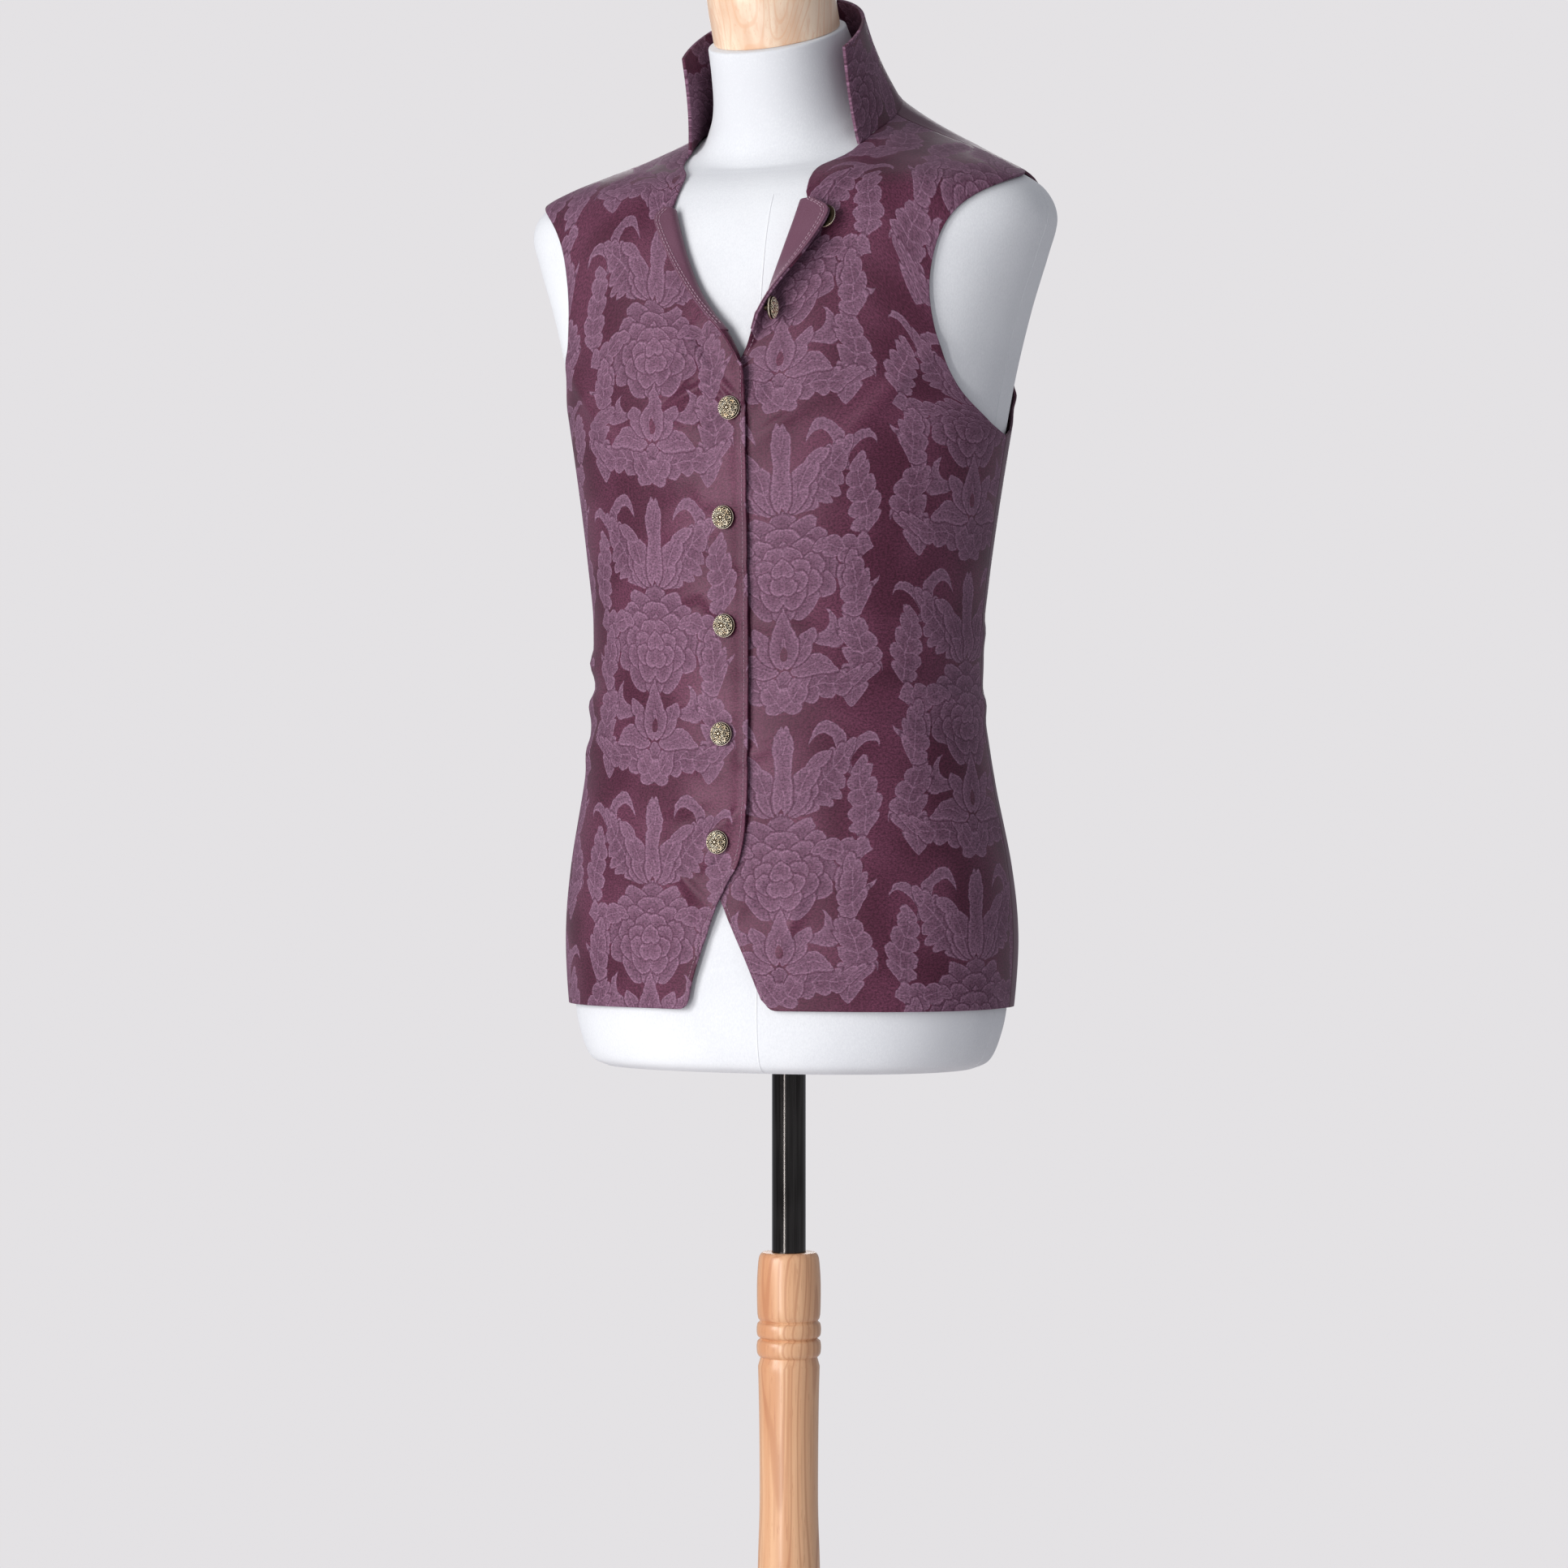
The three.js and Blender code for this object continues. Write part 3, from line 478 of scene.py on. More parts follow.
def meshPiece(name, verts, faces):
    mesh = bpy.data.meshes.new(name)
    mesh.from_pydata(verts, [], faces)
    piece = bpy.data.objects.new(name, mesh)
    bpy.context.collection.objects.link(piece)
    return piece


def tubeFaces(start, rings, sides):
    # the skin of a tube, ring by ring, and a face at each end
    faces = []
    for low in range(start, start + (rings - 1) * sides, sides):
        for k in range(sides):
            n = (k + 1) % sides
            faces.append((low + k, low + n, low + sides + n, low + sides + k))
    last = start + (rings - 1) * sides
    faces.append(tuple(range(start, start + sides))[::-1])
    faces.append(tuple(range(last, last + sides)))
    return faces


def finishPiece(piece, name, material, angle=40):
    selectOnly(piece)
    bpy.ops.object.transform_apply(location=True, rotation=True, scale=True)
    bpy.ops.object.shade_smooth_by_angle(angle=math.radians(angle))
    piece.name = name
    piece.data.name = name
    piece.data.materials.clear()
    piece.data.materials.append(material)
    piece.select_set(False)
    return piece


def faceOutwards(piece):
    selectOnly(piece)
    bpy.ops.object.mode_set(mode="EDIT")
    bpy.ops.mesh.select_all(action="SELECT")
    bpy.ops.mesh.normals_make_consistent(inside=False)
    bpy.ops.object.mode_set(mode="OBJECT")


# the dress form's rings, in millimetres: half width, furthest front and back, middle, ease

formColumns = ("half", "frontY", "frontZ", "backY", "backZ", "midY", "ease")
formLevels = [dict(zip(formColumns, row)) for row in (
    (140, -98, 752, 98, 752, 0, 2.5),
    (152, -106, 758, 107, 758, 0, 2.5),
    (160, -110, 775, 113, 775, 0, 2.5),
    (165, -111, 800, 118, 800, 0, 2.6),
    (168, -110, 850, 121, 850, 0, 2.5),
    (164, -108, 900, 114, 900, 0, 2.4),
    (153, -106, 960, 100, 960, 0, 2.4),
    (144, -105, 1020, 91, 1020, 0, 2.4),
    (145, -105, 1080, 94, 1080, 0, 2.4),
    (152, -107, 1140, 104, 1140, 0, 2.4),
    (161, -109, 1200, 114, 1200, 0, 2.4),
    (171, -109, 1255, 121, 1255, 0, 2.4),
    (184, -104, 1305, 124, 1305, 0, 2.2),
    (198, -97, 1345, 122, 1345, 0, 1.6),
    (206, -89, 1371, 117, 1371, 0, 1.4),
    (198, -81, 1387, 113, 1394, 0, 1.3),
    (176, -74, 1396, 109, 1414, 4, 1.3),
    (143, -67, 1402, 104, 1436, 8, 1.3),
    (108, -61, 1406, 98, 1458, 12, 1.3),
    (73, -55, 1411, 88, 1482, 16, 1.3),
    (62, -51, 1424, 73, 1498, 11, 1.0),
    (55, -55, 1443, 58, 1508, 2, 1.0),
    (51, -63, 1467, 43, 1519, -10, 1.0),
    (49.5, -70, 1489, 30, 1529, -20, 1.0),
)]

form = {
    "fullness": 2.2,  # above 2 the rings are a little squarer than ellipses
    "sides": 160,
    "rings": 170,
    "underside": 752.0,
    "neckTilt": 21.8,
    "coverLip": 1.6,
    "socketRadius": 12.8,
}


def formPoint(angle, level):
    half, frontY, frontZ, backY, backZ, midY = (curveAt(formLevels, key, level) for key in formColumns[:6])
    ahead = math.cos(math.radians(angle))
    aside = math.sin(math.radians(angle))
    depth = midY - frontY if ahead > 0 else backY - midY
    power = form["fullness"]
    reach = (abs(ahead / depth) ** power + abs(aside / half) ** power) ** (-1 / power)
    y = midY - reach * ahead
    z = mix(frontZ, backZ, (y - frontY) / (backY - frontY))
    return Vector((reach * aside, y, z))


def formNormal(angle, level):
    around = formPoint(angle + 0.5, level) - formPoint(angle - 0.5, level)
    up = formPoint(angle, level + 0.02) - formPoint(angle, level - 0.02)
    return around.cross(up).normalized()


# cloth over the form

cloth = {
    "wall": 1.8,
    "overlapRise": 2.6,
    "stripTaper": 0.45,  # the turned-back strips round off at their top ends
    "edgeLift": 2.2,  # the free edge of the upper front stands a little proud
    "hollowBridge": 1.5,
    "seamGap": 0.3,
    "sideSeam": 96.0,
    "shoulderSeam": 100.0,
    "neckLevel": 19.0,
    "tipLevel": 16.0,
    "underarm": 1213.0,
    "leftFold": 3.4,
    "rightFold": 2.8,
    "facing": 1.0,
    "centreBack": 179.9,
    "seamTurn": 0.06,  # how far, in degrees or levels, a panel's edge stops short of its seam
    "bendShare": 0.66,  # share of a strip's columns that go round its fold
    "creaseTop": 7.0,
    "creaseLow": -1.5,
    "creaseRadius": 130.0,
}

# soft creases: place round the body (mm from the front centre, wearer's left positive) and up,
# lean from level, half length, half width and height, troughs below zero
creaseColumns = ("round", "up", "lean", "long", "wide", "rise")
creases = [dict(zip(creaseColumns, row)) for row in (
    # short ridges above the five closed buttons
    (6, 1243, 140, 12, 3.0, 2.8),
    (-3, 1165, 172, 12, 3.2, 2.5),
    (-2, 1087, 163, 12, 3.2, 2.3),
    (1, 1009, 192, 10, 3.0, 1.9),
    (1, 932, 30, 13, 3.4, 2.7),
    # pulls round the buttons and along the closure
    (-8, 1242, 148, 12, 3.6, 3.1),
    (-12, 1219, 205, 12, 4.0, 2.4),
    (-14, 1163, 162, 13, 3.8, 3.2),
    (-9, 1141, 214, 11, 3.6, 2.0),
    (-10, 1087, 152, 12, 3.6, 2.9),
    (-16, 1066, 196, 13, 4.2, 2.2),
    (-14, 1008, 166, 12, 3.6, 2.2),
    (-12, 986, 208, 12, 3.8, 2.1),
    (10, 932, 62, 11, 3.6, 2.5),
    (-12, 928, 160, 13, 4.0, 2.7),
    (-10, 905, 214, 12, 3.8, 2.2),
    (-22, 1266, 128, 20, 4.4, 3.1),
    (34, 1246, 56, 20, 5.0, 2.5),
    (30, 1168, 24, 20, 5.0, 2.2),
    (34, 1112, -18, 22, 5.4, 2.1),
    (32, 984, 22, 22, 5.2, 2.1),
    (30, 884, 48, 20, 5.0, 2.2),
    # drags across the fronts
    (-44, 1262, 58, 26, 4.5, 3.2),
    (-36, 1250, 40, 22, 3.4, -1.5),
    (-30, 1241, 20, 24, 4.1, 2.9),
    (-46, 1228, -6, 22, 4.5, -1.5),
    (-34, 1212, -28, 24, 4.5, 2.1),
    (-30, 1166, 14, 14, 3.8, -1.5),
    (-40, 1176, 6, 26, 4.5, 2.1),
    (-36, 1136, -16, 26, 5.2, 2.4),
    (-28, 1088, 18, 14, 3.8, -1.5),
    (-42, 1096, 8, 26, 4.5, 1.9),
    (-36, 1058, -14, 26, 5.2, 2.2),
    (-30, 1010, 14, 14, 3.8, -1.5),
    (-44, 1018, 4, 26, 4.5, 1.9),
    (-42, 982, -20, 30, 6.0, 2.6),
    (-32, 934, 20, 15, 3.8, -1.5),
    (-46, 944, 10, 26, 4.5, 1.9),
    (-44, 898, -38, 36, 6.0, 2.7),
    (-30, 868, -62, 30, 4.5, -1.5),
    (58, 858, 66, 36, 6.0, 2.2),
    (44, 1215, 30, 34, 6.0, 1.9),
    (54, 1150, 12, 30, 5.2, -1.5),
    (50, 1074, -10, 34, 6.8, 1.6),
    (58, 1040, 8, 44, 6.0, -1.5),
    (60, 950, 26, 36, 6.8, 1.8),
    # the waist, at the sides and the back
    (150, 1052, 14, 66, 9.0, 3.9),
    (168, 1024, -6, 70, 10.0, 4.2),
    (140, 996, -20, 52, 10.0, 2.8),
    (-146, 1046, -12, 62, 9.0, 3.7),
    (-170, 1018, 8, 66, 10.0, 4.0),
    (-150, 988, 20, 50, 10.0, 2.6),
    (300, 1060, -10, 58, 9.0, 3.1),
    (318, 1030, 6, 70, 11.0, 4.0),
    (-296, 1054, 12, 60, 9.0, 3.0),
    (-320, 1022, -5, 70, 11.0, 3.9),
    # under the arms
    (128, 1246, 52, 44, 8.0, 2.8),
    (-126, 1240, -54, 46, 8.0, 3.0),
    (268, 1236, -50, 40, 9.0, 3.1),
    (-266, 1230, 50, 42, 9.0, 3.0),
    # fine puckers below the shoulder
    (120, 1402, 6, 22, 2.6, 0.7),
    (118, 1394, 4, 24, 2.4, 0.7),
    (116, 1386, 2, 22, 2.4, 0.6),
    (112, 1378, 0, 18, 2.4, 0.5),
)]


def foldRise(angle, height):
    # flutes below the waist and ripples at it
    skirt = 1 - smooth(830, 990, height)
    flute = 0.5 - 0.5 * math.cos((angle - 30) * 0.115 + 0.5 * math.sin(angle * 0.05))
    waist = math.exp(-(((height - 1035) / 60) ** 2)) * smooth(40, 75, angle)
    wave = 0.5 + 0.5 * math.sin(height * 0.105 + angle * 0.045)
    return 1.3 * skirt * flute * smooth(24, 50, angle) + 1.1 * waist * wave


def creaseRise(signedAngle, height):
    around = math.radians(signedAngle) * cloth["creaseRadius"]
    total = 0.0
    for crease in creases:
        dx = around - crease["round"]
        dz = height - crease["up"]
        if abs(dx) > 3 * crease["long"] or abs(dz) > 3 * crease["long"]:
            continue
        lean = math.radians(crease["lean"])
        along = (dx * math.cos(lean) + dz * math.sin(lean)) / crease["long"]
        aside = (dz * math.cos(lean) - dx * math.sin(lean)) / crease["wide"]
        aside *= 1.5 if aside > 0 else 1.0  # one side of a crease is steeper
        total += crease["rise"] * math.exp(-along * along - aside * aside)
    return total


def clothPoint(angle, level, side, overlaps):
    point = formPoint(angle, level)
    normal = formNormal(angle, level)
    ease = curveAt(formLevels, "ease", level)
    near = 1 - smooth(20, 62, point.x)
    low = 1 - smooth(1285, 1325, point.z)
    rise = cloth["overlapRise"] * near * low if overlaps else 0.0
    if overlaps:
        rise += cloth["edgeLift"] * (1 - smooth(-19, -3, point.x)) * smooth(872, 900, point.z) * low
    bridge = cloth["hollowBridge"] * smooth(100, 112, angle) * smooth(14.8, 16.4, level)
    crease = min(cloth["creaseTop"], max(cloth["creaseLow"], creaseRise(side * angle, point.z)))
    lift = ease + rise + bridge + foldRise(angle, point.z) + crease + cloth["wall"] / 2
    return point + normal * lift, normal


def levelAtHeight(angle, height):
    low, high = 0.0, cloth["neckLevel"]
    for step in range(16):
        level = (low + high) / 2
        if formPoint(angle, level).z < height:
            low = level
        else:
            high = level
    return (low + high) / 2


def placeAt(distance, height, side, overlaps):
    low, high = -30.0, 60.0
    for step in range(13):
        angle = (low + high) / 2
        level = levelAtHeight(angle, height)
        if clothPoint(angle, level, side, overlaps)[0].x < distance:
            low = angle
        else:
            high = angle
    angle = (low + high) / 2
    return angle, levelAtHeight(angle, height)


# the edge of each front, from the hem up: visible edge, strip width and how far it turns

edgeColumns = ("height", "edge", "width", "turn")
leftEdge = [dict(zip(edgeColumns, row)) for row in (
    (798, 34.5, 5, 0),
    (816, 26.3, 6, 0),
    (835, 17.8, 6, 0),
    (855, 8.2, 6, 0),
    (875, -1, 6, 0),
    (890, -7.8, 6, 0),
    (905, -11.3, 6, 0),
    (930, -12, 6, 0),
    (960, -12, 6, 0),
    (995, -12, 6, 0),
    (1030, -12, 6, 0),
    (1070, -12, 6, 0),
    (1110, -12, 6, 0),
    (1150, -12, 6, 0),
    (1213, -12, 6, 0),
    (1228, -10, 6, 0),
    (1240, -5, 6, 0),
    (1253, 5, 5, 0),
    (1265, 14.2, 5, 0),
    (1273, 18.8, 6, 20),
    (1284, 25, 10, 68),
    (1298, 31.5, 16, 94),
    (1316, 36.5, 23, 128),
    (1338, 43, 29, 157),
    (1360, 49, 35, 167),
    (1375, 52, 32, 170),
)]
rightEdge = [dict(zip(edgeColumns, row)) for row in (
    (798, 26.3, 5, 0),
    (816, 23.2, 6, 0),
    (835, 17.2, 6, 0),
    (855, 10.2, 6, 0),
    (875, 2.2, 6, 0),
    (890, -5.4, 6, 0),
    (905, -13.7, 6, 0),
    (930, -18.8, 6, 0),
    (960, -20, 6, 0),
    (995, -20, 6, 0),
    (1030, -20, 6, 0),
    (1070, -20, 6, 0),
    (1110, -20, 6, 0),
    (1150, -20, 6, 0),
    (1213, -20, 6, 0),
    (1228, -20, 6, 0),
    (1240, -20, 5, 25),
    (1253, -19.2, 6, 65),
    (1265, -16, 8, 110),
    (1273, -12, 9, 130),
    (1284, -4.5, 10, 142),
    (1298, 8.5, 11, 150),
    (1316, 22, 13, 158),
    (1338, 33.5, 17, 163),
    (1360, 43, 21, 166),
    (1375, 49.5, 22, 168),
)]
spotColumns = ("angle", "level")
neckline = [dict(zip(spotColumns, row)) for row in (
    (32.3, 14.2), (35.5, 16.6), (42.5, 17.9), (59, 18.75), (72, 18.95), (86, 19), (100, 19))]
frontArmhole = [dict(zip(spotColumns, row)) for row in (
    (96, 10.24), (84, 10.4), (72, 10.82), (65, 11.6), (64, 12.62), (70, 14.05), (83, 15.3), (100, 16))]
backArmhole = [dict(zip(spotColumns, row)) for row in (
    (96, 10.24), (106, 10.45), (115, 10.91), (119, 11.9), (117, 13.1), (111, 14.7), (100, 16))]

fineness = {
    "rowSteps": 8,  # fine rows for each row of a table
    "bodyColumns": 84,
    "stripColumns": 12,
    "neckSteps": 10,
    "seatSteps": 12,
    "backUpperRows": 44,
    "collarColumns": 120,
    "collarRows": 22,
}


def stripReach(width, turn, radius):
    bend = math.radians(turn)
    if bend < math.pi / 2:
        arc = min(width, radius * bend)
        return radius * math.sin(bend) + (width - arc) * math.cos(bend)
    return radius + cloth["wall"] / 2


def stripPoint(hinge, distance, radius, turn):
    point, normal, across = hinge
    bend = min(distance / radius, math.radians(turn))
    rest = distance - radius * bend
    along = radius * math.sin(bend) + rest * math.cos(bend)
    away = radius * (1 - math.cos(bend)) + rest * math.sin(bend)
    spot = point + across * along + normal * away
    return spot, normal * math.cos(bend) - across * math.sin(bend)


def stripDistance(width, turn, radius, share):
    arc = min(radius * math.radians(turn), 0.75 * width)
    split = cloth["bendShare"]
    bendSpan = mix(split * width, arc, smooth(0, 60, turn))
    if share <= split:
        return bendSpan * share / split
    return mix(bendSpan, width, (share - split) / (1 - split))


def frontSheet(edge, side, radius, overlaps):
    tableRows = len(edge) - 1
    steps = fineness["rowSteps"]
    stripRows = tableRows * steps
    neck, seat = fineness["neckSteps"], fineness["seatSteps"]
    total = stripRows + neck + seat
    underarmRow = next(i for i, row in enumerate(edge) if row["height"] == cloth["underarm"]) * steps
    rows, hinges = [], []
    for row in range(total + 1):
        data = {key: curveAt(edge, key, min(row, stripRows) / steps) for key in edgeColumns}
        data["width"] *= 1 - cloth["stripTaper"] * smooth(stripRows - steps, stripRows, row) ** 2
        if row <= stripRows:
            fold = data["edge"] + stripReach(data["width"], max(0.0, data["turn"]), radius)
            angle, level = placeAt(fold, data["height"], side, overlaps)
        else:
            step = row - stripRows
            place = 3 * step / neck if step <= neck else 3 + 3 * (step - neck) / seat
            angle = curveAt(neckline, "angle", place) - (0.25 if row == total else 0)
            level = curveAt(neckline, "level", place)
        if row <= underarmRow:
            endAngle = cloth["sideSeam"] - cloth["seamTurn"]
            endLevel = levelAtHeight(cloth["sideSeam"], data["height"])
        else:
            climb = (row - underarmRow) / (total - underarmRow)
            split = (stripRows - underarmRow) / (total - underarmRow)
            if climb < split:
                share = 0.6 * climb / split
            else:
                share = mix(0.6, 1, (climb - split) / (1 - split))
            place = share * (len(frontArmhole) - 1)
            endAngle = curveAt(frontArmhole, "angle", place) - (0.2 if row == total else cloth["seamTurn"])
            endLevel = curveAt(frontArmhole, "level", place)
        line = []
        for column in range(fineness["bodyColumns"] + 1):
            t = column / fineness["bodyColumns"]
            line.append(clothPoint(mix(angle, endAngle, t), mix(level, endLevel, t), side, overlaps))
        point, normal = line[0]
        beside = clothPoint(angle + 0.3, level, side, overlaps)[0]
        across = point - beside
        across = (across - normal * across.dot(normal)).normalized()
        hinge = (point, normal, across)
        hinges.append((hinge, data))
        strip = []
        for column in range(fineness["stripColumns"], 0, -1):
            share = column / fineness["stripColumns"]
            distance = stripDistance(data["width"], max(0.0, data["turn"]), radius, share)
            strip.append(stripPoint(hinge, distance, radius, max(0.0, data["turn"])))
        rows.append(strip + line)
    return rows, hinges, stripRows


def keepAll(row, column):
    return True


def gridMesh(name, rows, side, keep, thickness, material, above=0.0, shift=(0.0, 0.0)):
    # the middle of the cloth as a grid, given its thickness by solidify and soft edges by bevel
    verts, faces = [], []
    columns = len(rows[0])
    for row in rows:
        for point, normal in row:
            spot = point + normal * above
            verts.append((side * spot.x * mm, spot.y * mm, spot.z * mm))
    marks = clothUv(rows, side, shift)
    for r in range(len(rows) - 1):
        for c in range(columns - 1):
            if not keep(r, c):
                continue
            low = r * columns + c
            quad = [low, low + 1, low + columns + 1, low + columns]
            faces.append(quad if side > 0 else quad[::-1])
    piece = meshPiece(name, verts, faces)
    layer = piece.data.uv_layers.new(name="cloth")
    for loop in piece.data.loops:
        layer.data[loop.index].uv = marks[loop.vertex_index]
    piece.data.materials.append(material)
    wall = piece.modifiers.new("wall", "SOLIDIFY")
    wall.thickness = thickness * mm
    wall.offset = 0
    soften = piece.modifiers.new("edges", "BEVEL")
    soften.width = 0.45 * mm
    soften.segments = 2
    soften.limit_method = "ANGLE"
    soften.angle_limit = math.radians(60)
    applyAll(piece)
    return piece


def applyAll(piece):
    selectOnly(piece)
    for modifier in list(piece.modifiers):
        bpy.ops.object.modifier_apply(modifier=modifier.name)
    bpy.ops.object.shade_smooth_by_angle(angle=math.radians(50))
    piece.select_set(False)


def clothUv(rows, side, shift):
    # millimetres of cloth: across from the centre, and up from the hem
    marks = []
    columns = len(rows[0])
    first = fineness["stripColumns"] if columns > fineness["bodyColumns"] + 2 else 0
    climb = [rows[0][0][0].z] * columns
    for r, row in enumerate(rows):
        if r > 0:
            climb = [climb[c] + (row[c][0] - rows[r - 1][c][0]).length for c in range(columns)]
        line = [row[first][0].x] * columns
        for c in range(first + 1, columns):
            line[c] = line[c - 1] + (row[c][0] - row[c - 1][0]).length
        for c in range(first - 1, -1, -1):
            line[c] = line[c + 1] - (row[c][0] - row[c + 1][0]).length
        marks += [(side * line[c] - shift[0], climb[c] - shift[1]) for c in range(columns)]
    return marks


leftRows, leftHinges, stripRows = frontSheet(leftEdge, 1, cloth["leftFold"], False)
rightRows = frontSheet(rightEdge, -1, cloth["rightFold"], True)[0]
firstBody = fineness["stripColumns"]


def keepFront(row, column):
    return column >= firstBody or row < stripRows


# the last pair of numbers shifts the damask on the piece
damaskCloth = (cloth["wall"], finishes["damask"], 0.0)
frontLeft = gridMesh("frontLeft", leftRows, 1, keepFront, *damaskCloth, (45, 800))
frontRight = gridMesh("frontRight", rightRows, -1, keepFront, *damaskCloth, (-60, 748))
print("fronts cut and hung")


# facings on the turned-back edges, where they show

facingStart = 20 * fineness["rowSteps"]


def facingPiece(name, rows, side):
    lift = -(cloth["wall"] / 2 + cloth["seamGap"] + cloth["facing"] / 2)
    strip = [row[:firstBody - 1] for row in rows[facingStart:stripRows + 1]]
    return gridMesh(name, strip, side, keepAll, cloth["facing"], finishes["facing"], lift)


facingLeft = facingPiece("facingLeft", leftRows, 1)
facingRight = facingPiece("facingRight", rightRows, -1)
print("facings laid")


# backs

sideHeights = [row["height"] for row in leftEdge if row["height"] <= cloth["underarm"]]


def backTop(share):
    split = 6 / 14
    if share <= split:
        return mix(cloth["centreBack"], cloth["shoulderSeam"] + 0.25, share / split), cloth["neckLevel"]
    t = (share - split) / (1 - split)
    return cloth["shoulderSeam"] + 0.2, mix(cloth["neckLevel"], cloth["tipLevel"], t)


def backSheet(side):
    steps = fineness["rowSteps"]
    lowRows = (len(sideHeights) - 1) * steps
    sideEdge = cloth["sideSeam"] + cloth["seamTurn"]
    heights = [{"height": height} for height in sideHeights]
    upper = fineness["backUpperRows"]
    rows = []
    for row in range(lowRows + upper + 1):
        line = []
        for column in range(fineness["bodyColumns"] + 1):
            share = column / fineness["bodyColumns"]
            plain = mix(cloth["centreBack"], sideEdge, share)
            if row <= lowRows:
                angle = plain
                level = levelAtHeight(cloth["sideSeam"], curveAt(heights, "height", row / steps))
            else:
                up = (row - lowRows) / upper
                topAngle, topLevel = backTop(share)
                tipAngle, tipLevel = backTop(1)
                place = up * (len(backArmhole) - 1)
                under = backArmhole[0]["level"]
                edgeAngle = curveAt(backArmhole, "angle", place) + cloth["seamTurn"]
                shiftAngle = edgeAngle - mix(sideEdge, tipAngle, up)
                shiftLevel = curveAt(backArmhole, "level", place) - mix(under, tipLevel, up)
                angle = mix(plain, topAngle, up) + share ** 2 * shiftAngle
                level = mix(under, topLevel, up) + share ** 2 * shiftLevel
            line.append(clothPoint(angle, level, side, False))
        rows.append(line)
    return rows


hemCorner = {"reach": 8.0, "hold": 0.92}


def roundCorner(piece, side, edge):
    # the hem rises into the front edge in a small curve
    reach = hemCorner["reach"]
    hem = min(vert.co.z for vert in piece.data.vertices) / mm
    slope = (edge[1]["edge"] - edge[0]["edge"]) / (edge[1]["height"] - edge[0]["height"])
    for vert in piece.data.vertices:
        high = vert.co.z / mm - hem
        inward = side * vert.co.x / mm - edge[0]["edge"] - slope * high
        if high < reach and inward < reach:
            gap = reach - max(0.0, inward)
            rise = reach - math.sqrt(reach ** 2 - gap ** 2)
            vert.co.z += hemCorner["hold"] * rise * (1 - high / reach) * mm


roundCorner(frontLeft, 1, leftEdge)
roundCorner(frontRight, -1, rightEdge)


backLeft = gridMesh("backLeft", backSheet(1), 1, keepAll, cloth["wall"], finishes["back"])
backRight = gridMesh("backRight", backSheet(-1), -1, keepAll, cloth["wall"], finishes["back"])
print("backs hung")


# collar

collar = {
    "baseTurn": 59.0,
    "topTurn": 76.0,
    "topRadius": 68.0,
    "topMidY": -29.0,
    "topFrontY": -45.6,
    "topFrontZ": 1494.0,
    "topSlope": 0.625,
    "wall": 2.6,
    "pinch": 2.5,
}


def collarPoint(t, up):
    baseTurn = mix(collar["baseTurn"], 360 - collar["baseTurn"], t)
    folded = 360 - baseTurn if baseTurn > 180 else baseTurn
    level = cloth["neckLevel"] - cloth["seamTurn"]
    if folded < 72:
        level = mix(18.72, level, (folded - 59) / 13)
    base, normal = clothPoint(folded, level, 1, False)
    base = base + normal * (cloth["wall"] / 2 - 0.5)
    if baseTurn > 180:
        base.x = -base.x
    topTurn = math.radians(mix(collar["topTurn"], 360 - collar["topTurn"], t))
    topY = collar["topMidY"] - collar["topRadius"] * math.cos(topTurn)
    topZ = collar["topFrontZ"] + collar["topSlope"] * (topY - collar["topFrontY"])
    top = Vector((collar["topRadius"] * math.sin(topTurn), topY, topZ))
    middle = (base + top) / 2
    spread = Vector((middle.x, middle.y - mix(16, collar["topMidY"], 0.5), 0)).normalized()
    wave = 0.7 * math.sin(t * 19 + up * 2) * up * (1 - up) * 4
    return base.lerp(top, up) + spread * (wave - collar["pinch"] * math.sin(up * math.pi))


def collarSheet():
    rows = []
    for row in range(fineness["collarRows"] + 1):
        up = row / fineness["collarRows"]
        line = []
        for column in range(fineness["collarColumns"] + 1):
            t = column / fineness["collarColumns"]
            point = collarPoint(t, up)
            around = collarPoint(min(1, t + 0.005), up) - collarPoint(max(0, t - 0.005), up)
            rise = collarPoint(t, min(1, up + 0.02)) - collarPoint(t, max(0, up - 0.02))
            outward = around.cross(rise).normalized()
            if row == 0:
                outward = Vector((outward.x, outward.y, -0.55)).normalized()
            line.append((point - outward * (collar["wall"] / 2), outward))
        rows.append(line)
    return rows


collarCloth = (collar["wall"], finishes["damask"], 0.0)
collarPiece = gridMesh("collar", collarSheet(), 1, keepAll, *collarCloth, (40, 1350))
print("collar set on")


# the form and its stand

def turnPiece(name, profile, material, sides=96):
    # a disc is drawn up through the profile, as on a lathe
    deselect()
    first = profile[0]
    bpy.ops.mesh.primitive_circle_add(vertices=sides, radius=first[0] * mm, fill_type="NGON",
                                      location=(0, 0, first[1] * mm))
    piece = bpy.context.object
    bpy.ops.object.transform_apply(location=True)
    bpy.ops.object.mode_set(mode="EDIT")
    bpy.ops.mesh.select_mode(type="FACE")
    bpy.ops.mesh.select_all(action="SELECT")
    for (radius, height), (nextRadius, nextHeight) in zip(profile, profile[1:]):
        lift = (nextHeight - height) * mm
        bpy.ops.mesh.extrude_region_move(TRANSFORM_OT_translate={"value": (0, 0, lift)})
        scale = nextRadius / radius
        bpy.ops.transform.resize(value=(scale, scale, 1), center_override=(0, 0, nextHeight * mm))
    bpy.ops.mesh.select_all(action="SELECT")
    bpy.ops.mesh.normals_make_consistent(inside=False)
    bpy.ops.object.mode_set(mode="OBJECT")
    return finishPiece(piece, name, material)


